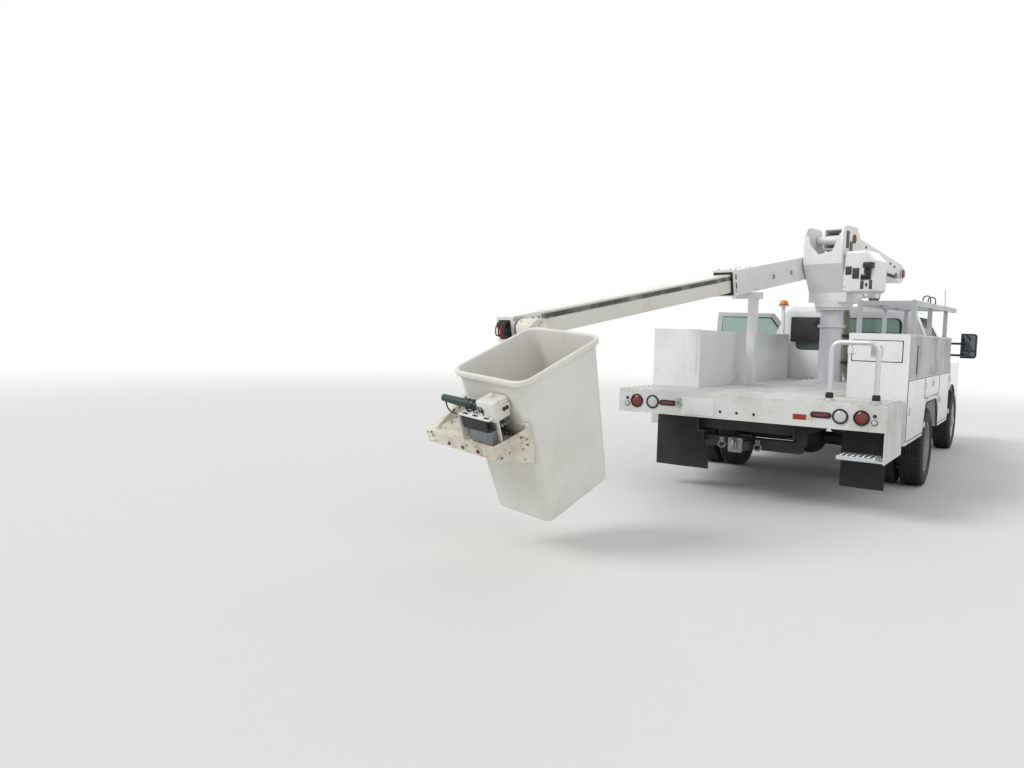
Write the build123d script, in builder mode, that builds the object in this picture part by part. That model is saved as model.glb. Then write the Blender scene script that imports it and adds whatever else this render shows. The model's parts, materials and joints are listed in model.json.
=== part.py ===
"""Regular-cab utility truck with an articulating telescopic aerial device behind its cab.

Millimetres, Z up from the ground, X towards the front of the truck, Y towards its left side.
The part's origin is on the ground under the middle of the whole machine's box, so every place
on the truck is measured from the tail's rear face and the truck's centre line, through at().
The aerial device has its own frame, turned on the slewing axis, through aloft().
"""
import os
from math import atan, cos, degrees, radians, sin, tan

from build123d import *

os.makedirs("parts", exist_ok=True)

# Where the truck stands in the part's frame
tail_x = -2035.0  # the tail's rear face
mid_y = -334.0  # the truck's centre line

# Axles, rims and tyres
tyre_d = 810.0
tyre_w = 225.0
rim_d = 500.0
rear_axle_x = 2400.0  # from the tail, as every place along the truck
wheelbase = 3580.0
front_track = 1900.0
dual_inner_y = 813.0
dual_spacing = 254.0
kingpin_y = 775.0
seat_gap = 0.3  # between pieces that seat on each other
swing_gap = 6.0  # round a door in its opening

# Chassis
rail_out_y = 432.0
rail_w = 75.0
rail_top = 790.0
rail_h = 170.0
rail_front_x = 6560.0
rail_rear_x = 130.0

# Utility body
body_half_w = 1185.0
cabinet_w = 493.0
cabinet_front_x = 3880.0
cabinet_low = 578.0
cabinet_top = 1546.0
shelf_len = 784.0
shelf_inset = 21.0  # the shelf's sides stand in from the cabinets'
shelf_half_w = body_half_w - shelf_inset
deck_top = 972.0
deck_t = 40.0
tread_t = 3.0
channel_h = 214.0
skin = 26.0
door_t = 26.0
door_lip = 6.0  # the doors stand proud of the body
door_head = 1146.0  # the doorways end here, under a fixed panel
arch_top = 890.0
arch_low_half = 540.0
arch_top_half = 400.0

nose_x = 6790.0  # the front panels' face

# Cab
cab_back_x = 3950.0
cab_front_x = 5700.0
cab_half_w = 1005.0
roof_half_w = 760.0
roof_top = 1950.0
belt_z = 1290.0
cab_floor = 610.0
cab_wall = 70.0
cowl_low = 920.0
step_front_x = 5470.0
tunnel_half = 520.0
tunnel_top = 800.0
door_front_x = 5270.0
door_rear_x = 4130.0
door_low = 640.0
door_top = 1860.0
door_core_y = cab_half_w - 315  # the doors' prisms start here and go outwards
door_open = 63.0  # how far the driver's door stands open
door_full = 67.0

# Aerial device, from the slewing axis
slew_x = 3200.0  # the slewing axis, from the tail
boom_turn = 10.5  # how far the boom points off the truck's centre line
ring_z = 1930.0  # top of the slewing ring
turret_half_w = 225.0
heel_f = -60.0
heel_z = 2665.0
lower_len = 1879.0  # between the lower boom's pins
lower_slope = 8.1  # its fall towards the front
upper_side = 352.0  # the upper boom's centre plane, left of the turret
upper_slope = 9.92  # the upper boom's fall towards the bucket
upper_axis_z = 2377.0  # height of the upper boom's centre at the slewing axis
outer_w = 220.0
outer_h = 265.0
inner_w = 170.0
inner_h = 190.0
outer_rear_s = -900.0
collar_s = 1950.0
tip_s = 5170.0


def at(x, y, z):
    """A place on the truck: from the tail, from the centre line, from the ground."""
    return (tail_x + x, mid_y + y, z)


def save(piece, label):
    """Label a finished piece and write it."""
    piece.part.label = label
    export_step(piece.part, f"parts/{label}.step")


def span(x0, x1, y0, y1, z0, z1, mode=Mode.ADD):
    """A block between two corners on the truck."""
    with Locations(at((x0 + x1) / 2, (y0 + y1) / 2, (z0 + z1) / 2)):
        Box(abs(x1 - x0), abs(y1 - y0), abs(z1 - z0), mode=mode)


sides = {"left": 1, "right": -1}
hinge_pin_r = 4.0
hinge_r = 8.0
hinge_half = 28.0  # half a hinge's length
hinge_lift = 11.0  # its axis stands off the door's face
pin_gap = 0.1  # between a pin and its bore


def hinge(point, toward, along, out, lip=door_lip, leaf=30.0):
    """A butt hinge: a pin with two knuckles and a leaf on the frame, one knuckle and a leaf on the door.

    toward points from the door to its frame, along is the pin's direction, and out is 1 where
    along x toward points away from the body. The frame's face lies lip below the door's face.
    """
    place = Plane(point, x_dir=toward, z_dir=along)
    knuckle_len = hinge_half * 0.4
    low = out * -(hinge_lift + lip)
    with BuildPart(place) as fixed:
        Cylinder(hinge_pin_r, 2 * hinge_half)
        for end in (1, -1):
            mid = end * (hinge_half - (hinge_half - knuckle_len - 0.5) / 2)
            tall = hinge_half - knuckle_len - 0.5
            with Locations((0, 0, mid)):
                Cylinder(hinge_r, tall)
            with Locations((6, low / 2, mid)):
                Box(12, abs(low), tall)
        with Locations((6 + leaf / 2, low + out * 1.7, 0)):
            Box(leaf, 4, 2 * hinge_half)
    with BuildPart(place) as swung:
        Cylinder(hinge_r, 2 * knuckle_len)
        with Locations((-6, out * -hinge_lift / 2, 0)):
            Box(12, hinge_lift, 2 * knuckle_len)
        with Locations((-9.5 - leaf / 2, out * (1.7 - hinge_lift), 0)):
            Box(leaf, 4, 2 * hinge_half)
        Cylinder(hinge_pin_r + pin_gap, 2 * hinge_half, mode=Mode.SUBTRACT)
    return fixed.part, swung.part

# Chassis frame: two channel rails, their cross members and the tow bar
cross_x = [260.0, 1250.0, 1700.0, 3050.0, 4350.0, 5150.0]
tow_bar_x = 420.0
tow_bar_z = 520.0
with BuildPart() as chassis_frame:
    for side in (1, -1):
        outer, inner = side * rail_out_y, side * (rail_out_y - rail_w)
        span(rail_rear_x, rail_front_x, inner, outer, rail_top - rail_h, rail_top)
        span(
            rail_rear_x - 1, rail_front_x + 1, inner - side, outer - side * 12,
            rail_top - rail_h + 12, rail_top - 12, Mode.SUBTRACT,
        )
        # Drop plates that carry the tow bar
        span(tow_bar_x - 150, tow_bar_x + 150, outer, outer - side * 12, tow_bar_z, rail_top)
    # Cab mounts
    for x in (4250, 5300):
        for side in (1, -1):
            span(
                x - 50, x + 50, side * (rail_out_y - rail_w), side * rail_out_y,
                rail_top - 1, tunnel_top - seat_gap,
            )
    for x in cross_x:
        span(x - 40, x + 40, -rail_out_y + 12, rail_out_y - 12, rail_top - rail_h + 25, rail_top - 25)
    span(rail_front_x - 100, rail_front_x, -rail_out_y + 12, rail_out_y - 12, 640, 770)
    span(tow_bar_x - 60, tow_bar_x + 60, -rail_out_y, rail_out_y, tow_bar_z - 50, tow_bar_z + 50)
    span(170, tow_bar_x, -38, 38, tow_bar_z - 38, tow_bar_z + 38)
save(chassis_frame, "chassis_frame")

# Axle beams, leaf springs and the knuckles that carry the front wheels
axle_z = tyre_d / 2
front_x = rear_axle_x + wheelbase
spring_half = 620.0
leaf_w = 76.0
spring_y = rail_out_y - rail_w / 2
boss_h = 90.0
pin_r = 16.0


def leaf_spring(axle_x, pad_z, thick):
    """One bowed leaf pack under each rail, seated on the axle and hung from the rail."""
    eye_z = rail_top - rail_h - thick - seat_gap
    for side in (1, -1):
        with BuildSketch(Plane.XZ.offset(-(mid_y + side * spring_y + leaf_w / 2))) as leaves:
            with BuildLine():
                ends = [(tail_x + axle_x + s * spring_half, eye_z) for s in (-1, 1)]
                low = (tail_x + axle_x, pad_z)
                bow = ThreePointArc(ends[0], low, ends[1])
                rise = Line(bow @ 1, bow @ 1 + Vector(0, thick))
                back = ThreePointArc(rise @ 1, Vector(low[0], low[1] + thick), bow @ 0 + Vector(0, thick))
                Line(back @ 1, bow @ 0)
            make_face()
        extrude(leaves.sketch, amount=leaf_w)


with BuildPart() as front_axle:
    beam_z = axle_z - 70
    span(front_x - 45, front_x + 45, -560, 560, beam_z - 50, beam_z + 50)
    for side in (1, -1):
        span(front_x - 45, front_x + 45, side * 540, side * 640, beam_z - 50, axle_z + 40)
        span(front_x - 40, front_x + 40, side * 620, side * (kingpin_y - 20), axle_z - 40, axle_z + 40)
        with Locations(at(front_x, side * kingpin_y, axle_z)):
            Cylinder(42, boss_h)
            Cylinder(pin_r + 0.08, boss_h, mode=Mode.SUBTRACT)
    leaf_spring(front_x, beam_z + 50, 45)
    for side in (1, -1):
        span(front_x - 60, front_x + 60, side * (spring_y - 38), side * (spring_y + 38), beam_z, beam_z + 70)
save(front_axle, "front_axle")

spindle_r = 34.0
hub_face_y = front_track / 2 + 60
for name, side in sides.items():
    with BuildPart() as knuckle:
        with Locations(at(front_x, side * kingpin_y, axle_z)):
            Cylinder(pin_r, boss_h + 50)
        for lift in (-1, 1):
            ear_z = axle_z + lift * (boss_h / 2 + 14)
            with Locations(at(front_x, side * kingpin_y, ear_z)):
                Cylinder(40, 24)
            span(
                front_x - 38, front_x + 38, side * kingpin_y, side * (kingpin_y + 76),
                ear_z - 12, ear_z + 12,
            )
        span(
            front_x - 50, front_x + 50, side * (kingpin_y + 50), side * (kingpin_y + 80),
            axle_z - 80, axle_z + 80,
        )
        # Steering arm, behind the axle
        span(
            front_x - 190, front_x - 40, side * (kingpin_y + 45), side * (kingpin_y + 70),
            axle_z - 30, axle_z + 5,
        )
        with Locations(Plane(at(front_x, side * (kingpin_y + 70), axle_z), z_dir=(0, side, 0))):
            Cylinder(spindle_r, hub_face_y - kingpin_y - 70, align=(Align.CENTER, Align.CENTER, Align.MIN))
    save(knuckle, f"knuckle_{name}")

with BuildPart() as rear_axle:
    tube_end = dual_inner_y + dual_spacing + 40
    with Locations(Plane(at(rear_axle_x, 0, axle_z), z_dir=(0, 1, 0))):
        Cylinder(55, 2 * tube_end)
        Cylinder(70, 1180)
        Sphere(185)
        Cylinder(150, 230)
    leaf_spring(rear_axle_x, axle_z + 60, 60)
    # Propeller shaft to the gearbox
    with Locations(Plane(at(rear_axle_x, 0, axle_z + 10), x_dir=(0, 1, 0), z_dir=(1, 0, 0.06))):
        Cylinder(45, 2750, align=(Align.CENTER, Align.CENTER, Align.MIN))
save(rear_axle, "rear_axle")

# Wheels: a tyre is one turned ring, and a rim is a turned dish with hand holes
hub_r = 95.0
hand_holes = 8


def turned(outline, axle_x, y, side):
    """Turn an outline of (outward distance, radius) points about a wheel's axis."""
    hub = Plane(at(axle_x, y, axle_z), x_dir=(0, side, 0), z_dir=(1, 0, 0))
    with BuildSketch(hub) as section:
        with BuildLine():
            Polyline(*outline, close=True)
        make_face()
    revolve(section.sketch, axis=Axis(hub.origin, hub.x_dir))


def tyre_outline(shift):
    """Bead, wall, shoulder and tread, as (outward distance, radius)."""
    half, bead, out = tyre_w / 2, rim_d / 2 + seat_gap, tyre_d / 2
    return [
        (shift - half + 22, bead), (shift - half, bead + 62), (shift - half + 14, out - 22),
        (shift - half + 34, out), (shift + half - 34, out), (shift + half - 14, out - 22),
        (shift + half, bead + 62), (shift + half - 22, bead),
    ]


def barrel_outline(shift, dish):
    """The rim's barrel from flange to flange, with its disc at dish."""
    half, out = tyre_w / 2 - 18, rim_d / 2
    return [
        (shift - half, out), (shift + half, out), (shift + half, out - 14), (dish + 12, out - 34),
        (dish + 12, out - 60), (dish + 6, hub_r + 30), (dish + 6, hub_r - 5), (dish - 10, hub_r - 5),
        (dish - 10, hub_r + 32), (dish - 6, out - 60), (dish - 8, out - 34), (shift - half, out - 14),
    ]


def hand_hole_ring(axle_x, y, side, start, depth):
    """Cut the round hand holes through a disc."""
    disc = Plane(at(axle_x, y + side * start, axle_z), x_dir=(1, 0, 0), z_dir=(0, side, 0))
    with BuildSketch(disc) as holes:
        with PolarLocations(rim_d / 2 - 78, hand_holes):
            Circle(24)
    extrude(holes.sketch, amount=depth, mode=Mode.SUBTRACT)


for name, side in sides.items():
    with BuildPart() as front_tyre:
        turned(tyre_outline(0), front_x, side * front_track / 2, side)
    save(front_tyre, f"front_tyre_{name}")
    with BuildPart() as front_rim:
        turned(barrel_outline(0, 62), front_x, side * front_track / 2, side)
        hub = [
            (-20, spindle_r + 0.3), (62, spindle_r + 0.3), (62, 0), (120, 0), (120, 52), (104, 70),
            (74, 78), (74, hub_r), (40, hub_r), (-20, 70),
        ]
        turned(hub, front_x, side * front_track / 2, side)
        hand_hole_ring(front_x, side * front_track / 2, side, 40, 60)
    save(front_rim, f"front_rim_{name}")
    with BuildPart() as rear_tyres:
        for row in (0, 1):
            turned(tyre_outline(row * dual_spacing), rear_axle_x, side * dual_inner_y, side)
    save(rear_tyres, f"rear_tyres_{name}")
    with BuildPart() as rear_rims:
        turned(barrel_outline(0, dual_spacing / 2 - 14), rear_axle_x, side * dual_inner_y, side)
        turned(barrel_outline(dual_spacing, dual_spacing / 2 + 8), rear_axle_x, side * dual_inner_y, side)
        hub = [
            (dual_spacing / 2 - 60, 55.5), (dual_spacing + 45, 55.5), (dual_spacing + 45, 0),
            (dual_spacing + 70, 0), (dual_spacing + 70, 60), (dual_spacing + 55, 72),
            (dual_spacing / 2 + 40, 80), (dual_spacing / 2 + 20, hub_r), (dual_spacing / 2 - 60, hub_r),
        ]
        turned(hub, rear_axle_x, side * dual_inner_y, side)
        hand_hole_ring(rear_axle_x, side * dual_inner_y, side, dual_spacing / 2 - 60, 120)
    save(rear_rims, f"rear_rims_{name}")

# Engine, fuel tank and exhaust
with BuildPart() as engine_block:
    span(5725, 6440, -290, 290, 560, 1130)
    chamfer(engine_block.edges().filter_by(Axis.X).group_by(Axis.Z)[-1], 120)
    for side in (1, -1):
        span(5900, 6000, side * 285, side * (rail_out_y - 12 - seat_gap), 650, 700)
save(engine_block, "engine_block")

with BuildPart() as fuel_tank:
    span(3980, 5000, 446, 800, 340, 600)
    fillet(fuel_tank.edges().filter_by(Axis.X), 50)
    for x in (4180, 4800):
        span(x - 25, x + 25, rail_out_y + seat_gap, 455, 420, 730)
save(fuel_tank, "fuel_tank")

pipe_turn_x = 3120.0  # the tailpipe turns out here, ahead of the rear tyres
with BuildPart() as exhaust:
    with BuildLine() as pipe_route:
        FilletPolyline(
            at(5400, -500, 480), at(pipe_turn_x, -500, 480),
            at(pipe_turn_x, -body_half_w + 95, 480), radius=120,
        )
    with BuildSketch(Plane(origin=pipe_route.line @ 0, z_dir=pipe_route.line % 0)):
        Circle(42)
    sweep(path=pipe_route.line)
    with Locations(Plane(at(4500, -580, 480), z_dir=(1, 0, 0))):
        Cylinder(115, 900)
    for x in (4150, 4850):
        span(x - 20, x + 20, -505, -rail_out_y - seat_gap, 470, 700)
save(exhaust, "exhaust")

# Utility body: deck, tail channel, skirts and the sub-frame that seats on the rails
inner_y = body_half_w - cabinet_w
with BuildPart() as body_floor:
    span(0, shelf_len, -shelf_half_w, shelf_half_w, deck_top - deck_t, deck_top)
    span(
        shelf_len - 1, cabinet_front_x, -inner_y + seat_gap, inner_y - seat_gap,
        deck_top - deck_t, deck_top,
    )
    span(0, 8, -shelf_half_w, shelf_half_w, deck_top - channel_h, deck_top)
    span(0, 60, -shelf_half_w, shelf_half_w, deck_top - channel_h, deck_top - channel_h + 8)
    for side in (1, -1):
        span(
            rail_rear_x, cabinet_front_x, side * (rail_out_y - rail_w), side * rail_out_y,
            rail_top + seat_gap, deck_top - deck_t,
        )
    for x in (400, 700, 1300, 2000, 2700, 3400):
        span(
            x - 30, x + 30, -inner_y + seat_gap, inner_y - seat_gap, rail_top + 30, deck_top - deck_t,
        )
    # Side apron over the fold step; the left side has none
    span(0, shelf_len, -shelf_half_w + 10, -shelf_half_w, 505, deck_top)
    # Tread plates on the shelf and on the deck
    span(20, shelf_len - 24, 102 - inner_y, shelf_half_w - 24, deck_top - 1, deck_top + tread_t)
    span(shelf_len + 36, 1690, 52 - inner_y, inner_y - 52, deck_top - 1, deck_top + tread_t)
save(body_floor, "body_floor")

# Cabinets: hollow boxes with real door openings, and the doors that close them
rear_door = (shelf_len + 30, rear_axle_x - arch_low_half - 20)
over_door = (rear_axle_x - arch_low_half + 20, rear_axle_x + arch_low_half - 20)
front_door = (rear_axle_x + arch_low_half + 20, cabinet_front_x - 30)
door_band = (cabinet_low + 28, door_head)
over_band = (arch_top + 45, door_head)
doorways = {
    "rear_door": (rear_door, door_band),
    "over_door": (over_door, over_band),
    "front_door": (front_door, door_band),
}
tail_door_y = (inner_y + 28, body_half_w - 50)
tail_door_z = (1300.0, 1490.0)


def arch_prism(side, depth, grow):
    """The arch's outline, pushed through the outer wall; grow makes it larger."""
    low, high = arch_low_half + grow, arch_top_half + grow
    with BuildSketch(Plane.XZ.offset(-(mid_y + side * (body_half_w + 1)))) as arch:
        with BuildLine():
            # Its feet lie below the body, so that only its top corners are round there
            FilletPolyline(
                (tail_x + rear_axle_x - low - 115, cabinet_low - 250),
                (tail_x + rear_axle_x - high, arch_top + grow),
                (tail_x + rear_axle_x + high, arch_top + grow),
                (tail_x + rear_axle_x + low + 115, cabinet_low - 250),
                radius=130, close=True,
            )
        make_face()
    extrude(arch.sketch, amount=side * depth, mode=Mode.SUBTRACT)


hinge_face = body_half_w + door_lip + hinge_lift
door_hinges = {}
for name, side in sides.items():
    for kind, ((x0, x1), (z0, z1)) in doorways.items():
        if kind == "over_door":
            spots = [(x, z0 + swing_gap / 2) for x in (x0 + 150, x1 - 150)]
            pairs = [
                hinge(at(x, side * hinge_face, z), (0, 0, -1), (1, 0, 0), side) for x, z in spots
            ]
        else:
            spots = [(x1 - swing_gap / 2, z) for z in (z0 + 80, z1 - 80)]
            pairs = [
                hinge(at(x, side * hinge_face, z), (1, 0, 0), (0, 0, 1), side) for x, z in spots
            ]
        door_hinges[kind, name] = pairs
tail_hinge = hinge(
    at(shelf_len - door_lip - hinge_lift, -tail_door_y[0] - swing_gap / 2, sum(tail_door_z) / 2),
    (0, 1, 0), (0, 0, 1), 1,
)

for name, side in sides.items():
    out_y, in_y = side * body_half_w, side * inner_y
    with BuildPart() as cabinet:
        span(shelf_len + seat_gap, cabinet_front_x, in_y, out_y, cabinet_low, cabinet_top)
        # Rear, middle and front holds, with a wall each side of the wheel house
        for (x0, x1), (z0, z1) in doorways.values():
            span(
                x0 - 4, x1 + 4, in_y + side * skin, out_y - side * skin, z0 - 2, cabinet_top - skin,
                Mode.SUBTRACT,
            )
            span(
                x0, x1, out_y - side * (skin + 1), out_y + side, z0, z1, Mode.SUBTRACT,
            )
        arch_prism(side, cabinet_w + 2, 0)
        if name == "right":
            span(
                shelf_len - 1, shelf_len + 40, -tail_door_y[0], -tail_door_y[1],
                tail_door_z[0], tail_door_z[1], Mode.SUBTRACT,
            )
            add(tail_hinge[0])
        for kind in doorways:
            for fixed, swung in door_hinges[kind, name]:
                add(fixed)
    save(cabinet, f"cabinet_{name}")
    for kind, ((x0, x1), (z0, z1)) in doorways.items():
        with BuildPart() as cabinet_door:
            span(
                x0 + swing_gap, x1 - swing_gap, out_y - side * (door_t - door_lip),
                out_y + side * door_lip,
                z0 + swing_gap, z1 - swing_gap,
            )
            fillet(cabinet_door.edges().filter_by(Axis.Y), 18)
            chamfer(cabinet_door.faces().sort_by(Axis.Y)[-1 if side > 0 else 0].edges(), 4)
            grip_x = x0 + 90 if kind != "over_door" else (x0 + x1) / 2
            grip_z = (z0 + z1) / 2 if kind != "over_door" else z1 - 70
            with BuildSketch(Plane(at(grip_x, out_y + side * door_lip, grip_z), z_dir=(0, side, 0))):
                Circle(40)
                Circle(30, mode=Mode.SUBTRACT)
            extrude(amount=7)
            for fixed, swung in door_hinges[kind, name]:
                add(swung)
        save(cabinet_door, f"{kind}_{name}")

with BuildPart() as tail_door:
    span(
        shelf_len - 6, shelf_len + 20, -tail_door_y[0] - swing_gap, -tail_door_y[1] + swing_gap,
        tail_door_z[0] + swing_gap, tail_door_z[1] - swing_gap,
    )
    fillet(tail_door.edges().filter_by(Axis.X), 12)
    span(shelf_len - 20, shelf_len - 6, -tail_door_y[0] - 160, -tail_door_y[0] - 250, 1350, 1450)
    add(tail_hinge[1])
save(tail_door, "tail_door")

# Tail: lamps in the channel, a grab rail and a fold step at the right corner, mud flaps
lamp_z = deck_top - channel_h / 2
lamp_t = 16.0
round_lamps = {0.98: 62, 0.82: 62}
lamp_in, lamp_out = 640.0, 985.0
with BuildPart() as lamps:
    for y, radius in round_lamps.items():
        for side in (1, -1):
            with Locations(Plane(at(-seat_gap, side * y * 1000, lamp_z), z_dir=(-1, 0, 0))):
                Cylinder(radius, lamp_t, align=(Align.CENTER, Align.CENTER, Align.MIN))
    for side in (1, -1):
        with BuildSketch(Plane(at(-seat_gap, side * 670, lamp_z), x_dir=(0, 1, 0), z_dir=(-1, 0, 0))):
            SlotOverall(165, 50)
        extrude(amount=lamp_t)
    with BuildSketch(Plane(at(-seat_gap, -530, lamp_z - 30), x_dir=(0, 1, 0), z_dir=(-1, 0, 0))):
        Rectangle(165, 48)
    extrude(amount=4)
    for side in (1, -1):
        span(nose_x + seat_gap, nose_x + 45, side * lamp_in, side * lamp_out, 860, 1130)
    # Amber beacon on its post, at the front of the left cabinet
    span(3790, 3830, 740, 780, cabinet_top + seat_gap, 1915)
    span(3740, 3880, 690, 830, 1914, 1927)
    with Locations(at(3810, 760, 1926)):
        Cylinder(62, 71, align=(Align.CENTER, Align.CENTER, Align.MIN))
save(lamps, "lamps")

rail_r = 21.0
rail_feet_y = (-shelf_half_w + 474, -shelf_half_w + 114)
with BuildPart() as grab_rail:
    with BuildLine() as rail_path:
        FilletPolyline(
            at(170, rail_feet_y[0], deck_top + 12), at(170, rail_feet_y[0], 1462),
            at(170, rail_feet_y[1], 1462), at(170, rail_feet_y[1], deck_top + 12), radius=75,
        )
    with BuildSketch(Plane(origin=rail_path.line @ 0, z_dir=rail_path.line % 0)):
        Circle(rail_r)
    sweep(path=rail_path.line)
    for y in rail_feet_y:
        with Locations(at(170, y, deck_top + seat_gap)):
            Cylinder(50, 12, align=(Align.CENTER, Align.CENTER, Align.MIN))
            Cylinder(30, 60, align=(Align.CENTER, Align.CENTER, Align.MIN))
    # Fold step under the same corner
    step_in = -shelf_half_w + 374
    span(60, 300, step_in, step_in - 300, 512, 542)
    for x in (80, 280):
        span(x - 10, x + 10, -shelf_half_w + 24, -shelf_half_w + 10 + seat_gap, 505, 740)
        span(x - 10, x + 10, step_in, -shelf_half_w + 19, 505, 525)
save(grab_rail, "grab_rail")

flap_x = 600.0
flap_y = {1: (490.0, 1030.0), -1: (-716.0, -1074.0)}
with BuildPart() as mud_flaps:
    for side, (y0, y1) in flap_y.items():
        span(flap_x, flap_x + 10, y0, y1, 200, 770)
        span(flap_x + 5, flap_x + 25, y0, y1, 740, 770)
        for y in (y0 + side * 60, y1 - side * 60):
            span(flap_x + 10, flap_x + 22, y - 15, y + 15, 750, deck_top - deck_t - seat_gap)
save(mud_flaps, "mud_flaps")

# Cab: a tapered shell, cut for its doors, windscreen and rear window
shell_side = [
    (cab_back_x + 10, cab_floor), (cab_back_x, belt_z), (cab_back_x + 75, roof_top - 90),
    (cab_back_x + 170, roof_top - 25), (cab_back_x + 450, roof_top), (4800, roof_top - 8),
    (5020, roof_top - 50), (5640, 1345), (cab_front_x, 1300), (cab_front_x, cowl_low),
    (step_front_x, cowl_low), (step_front_x, cab_floor),
]


def cab_body(inset):
    """The cab's side outline crossed with its front outline, drawn in by inset."""
    with BuildSketch(Plane.XZ.offset(-(mid_y + cab_half_w + 5))) as profile:
        with BuildLine():
            Polyline(*[(tail_x + x, z) for x, z in shell_side], close=True)
        make_face()
        if inset:
            offset(amount=-inset, kind=Kind.INTERSECTION, mode=Mode.REPLACE)
    extrude(profile.sketch, amount=2 * cab_half_w + 10)
    with BuildSketch(Plane.YZ.offset(tail_x + cab_back_x - 50)) as front_view:
        with BuildLine():
            half = [
                (cab_half_w - inset, cab_floor - 5), (cab_half_w - inset, belt_z),
                (roof_half_w - inset, roof_top - 60), (roof_half_w - 130 - inset, roof_top + 5),
            ]
            Polyline(
                *[(mid_y + y, z) for y, z in half],
                *[(mid_y - y, z) for y, z in reversed(half)], close=True,
            )
        make_face()
    extrude(front_view.sketch, amount=cab_front_x - cab_back_x + 100, mode=Mode.INTERSECT)


with BuildPart() as cab_outer:
    cab_body(0)
with BuildPart() as cab_inner:
    cab_body(cab_wall)
with BuildPart() as cab_walls:
    add(cab_outer.part)
    add(cab_inner.part, mode=Mode.SUBTRACT)
with BuildPart() as mid_skin:
    cab_body(cab_wall / 2)
with BuildPart() as mid_core:
    cab_body(cab_wall / 2 + 6)

door_outline = [
    (door_rear_x, door_low), (door_rear_x, door_top), (4930, door_top), (door_front_x, 1480),
    (door_front_x, door_low),
]
# The door's leaning top swings back as it opens, so its opening is wider there
doorway_outline = [
    (door_rear_x - 3, door_low), (door_rear_x - 3, belt_z), (door_rear_x - 50, door_top),
    (4930, door_top), (door_front_x, 1480), (door_front_x, door_low),
]
window_outline = [
    (door_rear_x + 75, belt_z + 20), (door_rear_x + 75, door_top - 62), (4900, door_top - 62),
    (door_front_x - 70, 1450), (door_front_x - 70, belt_z + 20),
]


def side_prism(outline, side, shrink, mode):
    """Push a side outline through one half of the cab."""
    with BuildSketch(Plane.XZ.offset(-(mid_y + side * door_core_y))) as outline_face:
        with BuildLine():
            Polyline(*[(tail_x + x, z) for x, z in outline], close=True)
        make_face()
        if shrink:
            offset(amount=-shrink, kind=Kind.INTERSECTION, mode=Mode.REPLACE)
    extrude(outline_face.sketch, amount=-side * 350, mode=mode)


screen_low = Vector(5600, 0, 1345)
screen_high = Vector(5060, 0, roof_top - 95)
screen_slant = (screen_high - screen_low).normalized()
screen_normal = Vector(-screen_slant.Z, 0, screen_slant.X) * -1
screen_len = (screen_high - screen_low).length
screen_mid = (screen_low + screen_high) * 0.5


def screen_face(shrink):
    """The windscreen's opening, in its own slanted plane."""
    with BuildSketch(Plane(at(*screen_mid), x_dir=(0, 1, 0), z_dir=screen_normal)) as screen:
        RectangleRounded(1400 - 2 * shrink, screen_len - 2 * shrink, 60)
    return screen.sketch


rear_glass = (1250.0, 420.0)
rear_glass_z = 1560.0


def rear_face(shrink):
    """The rear window's opening."""
    pane_plane = Plane(at(cab_back_x + 40, 0, rear_glass_z), x_dir=(0, 1, 0), z_dir=(-1, 0, 0))
    with BuildSketch(pane_plane) as opening:
        RectangleRounded(rear_glass[0] - 2 * shrink, rear_glass[1] - 2 * shrink, 70)
    return opening.sketch


hinge_out = cab_half_w + hinge_lift
cab_hinge_x = door_front_x - swing_gap / 2
cab_hinge_z = (820.0, 1180.0)
cab_hinges = {}
for name, side in sides.items():
    cab_hinges[name] = [
        hinge(at(cab_hinge_x, side * hinge_out, z), (1, 0, 0), (0, 0, 1), side, 0)
        for z in cab_hinge_z
    ]

bonnet_back_x = cab_front_x + 12
bonnet_hinge_z = 1319.0
bonnet_hinge_x = (cab_front_x + bonnet_back_x) / 2
bonnet_hinges = [
    hinge(at(bonnet_hinge_x, y, bonnet_hinge_z), (-1, 0, 0), (0, 1, 0), 1, 0) for y in (-520, 520)
]

floor_face = cab_floor + cab_wall
sill_out = cab_half_w - cab_wall - swing_gap
with BuildPart() as cab_shell:
    add(cab_walls.part)
    for fixed, swung in bonnet_hinges:
        add(fixed)
    for side in (1, -1):
        side_prism(doorway_outline, side, 0, Mode.SUBTRACT)
        # The floor runs on inside the door, up to its inner face
        span(
            door_rear_x - 10, door_front_x + 10, side * door_core_y, side * sill_out,
            door_low - 5, floor_face,
        )
    extrude(screen_face(0), amount=150, both=True, mode=Mode.SUBTRACT)
    extrude(rear_face(0), amount=120, both=True, mode=Mode.SUBTRACT)
    for name in sides:
        for fixed, swung in cab_hinges[name]:
            add(fixed)
    # Floor raised over the chassis, with step wells outside it
    span(
        cab_back_x - 50, cab_front_x + 50, -tunnel_half, tunnel_half, cab_floor - 20, tunnel_top,
        Mode.SUBTRACT,
    )
    span(cab_back_x + 30, step_front_x - 30, -door_core_y, door_core_y, tunnel_top, tunnel_top + 60)
    for side in (1, -1):
        span(
            cab_back_x + 20, step_front_x, side * tunnel_half, side * (tunnel_half + 60),
            cab_floor, tunnel_top + 60,
        )
save(cab_shell, "cab_shell")

glass_t = 6.0
with BuildPart() as cab_glass:
    extrude(screen_face(seat_gap), amount=glass_t)
    extrude(rear_face(seat_gap), amount=glass_t)
save(cab_glass, "cab_glass")

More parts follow.
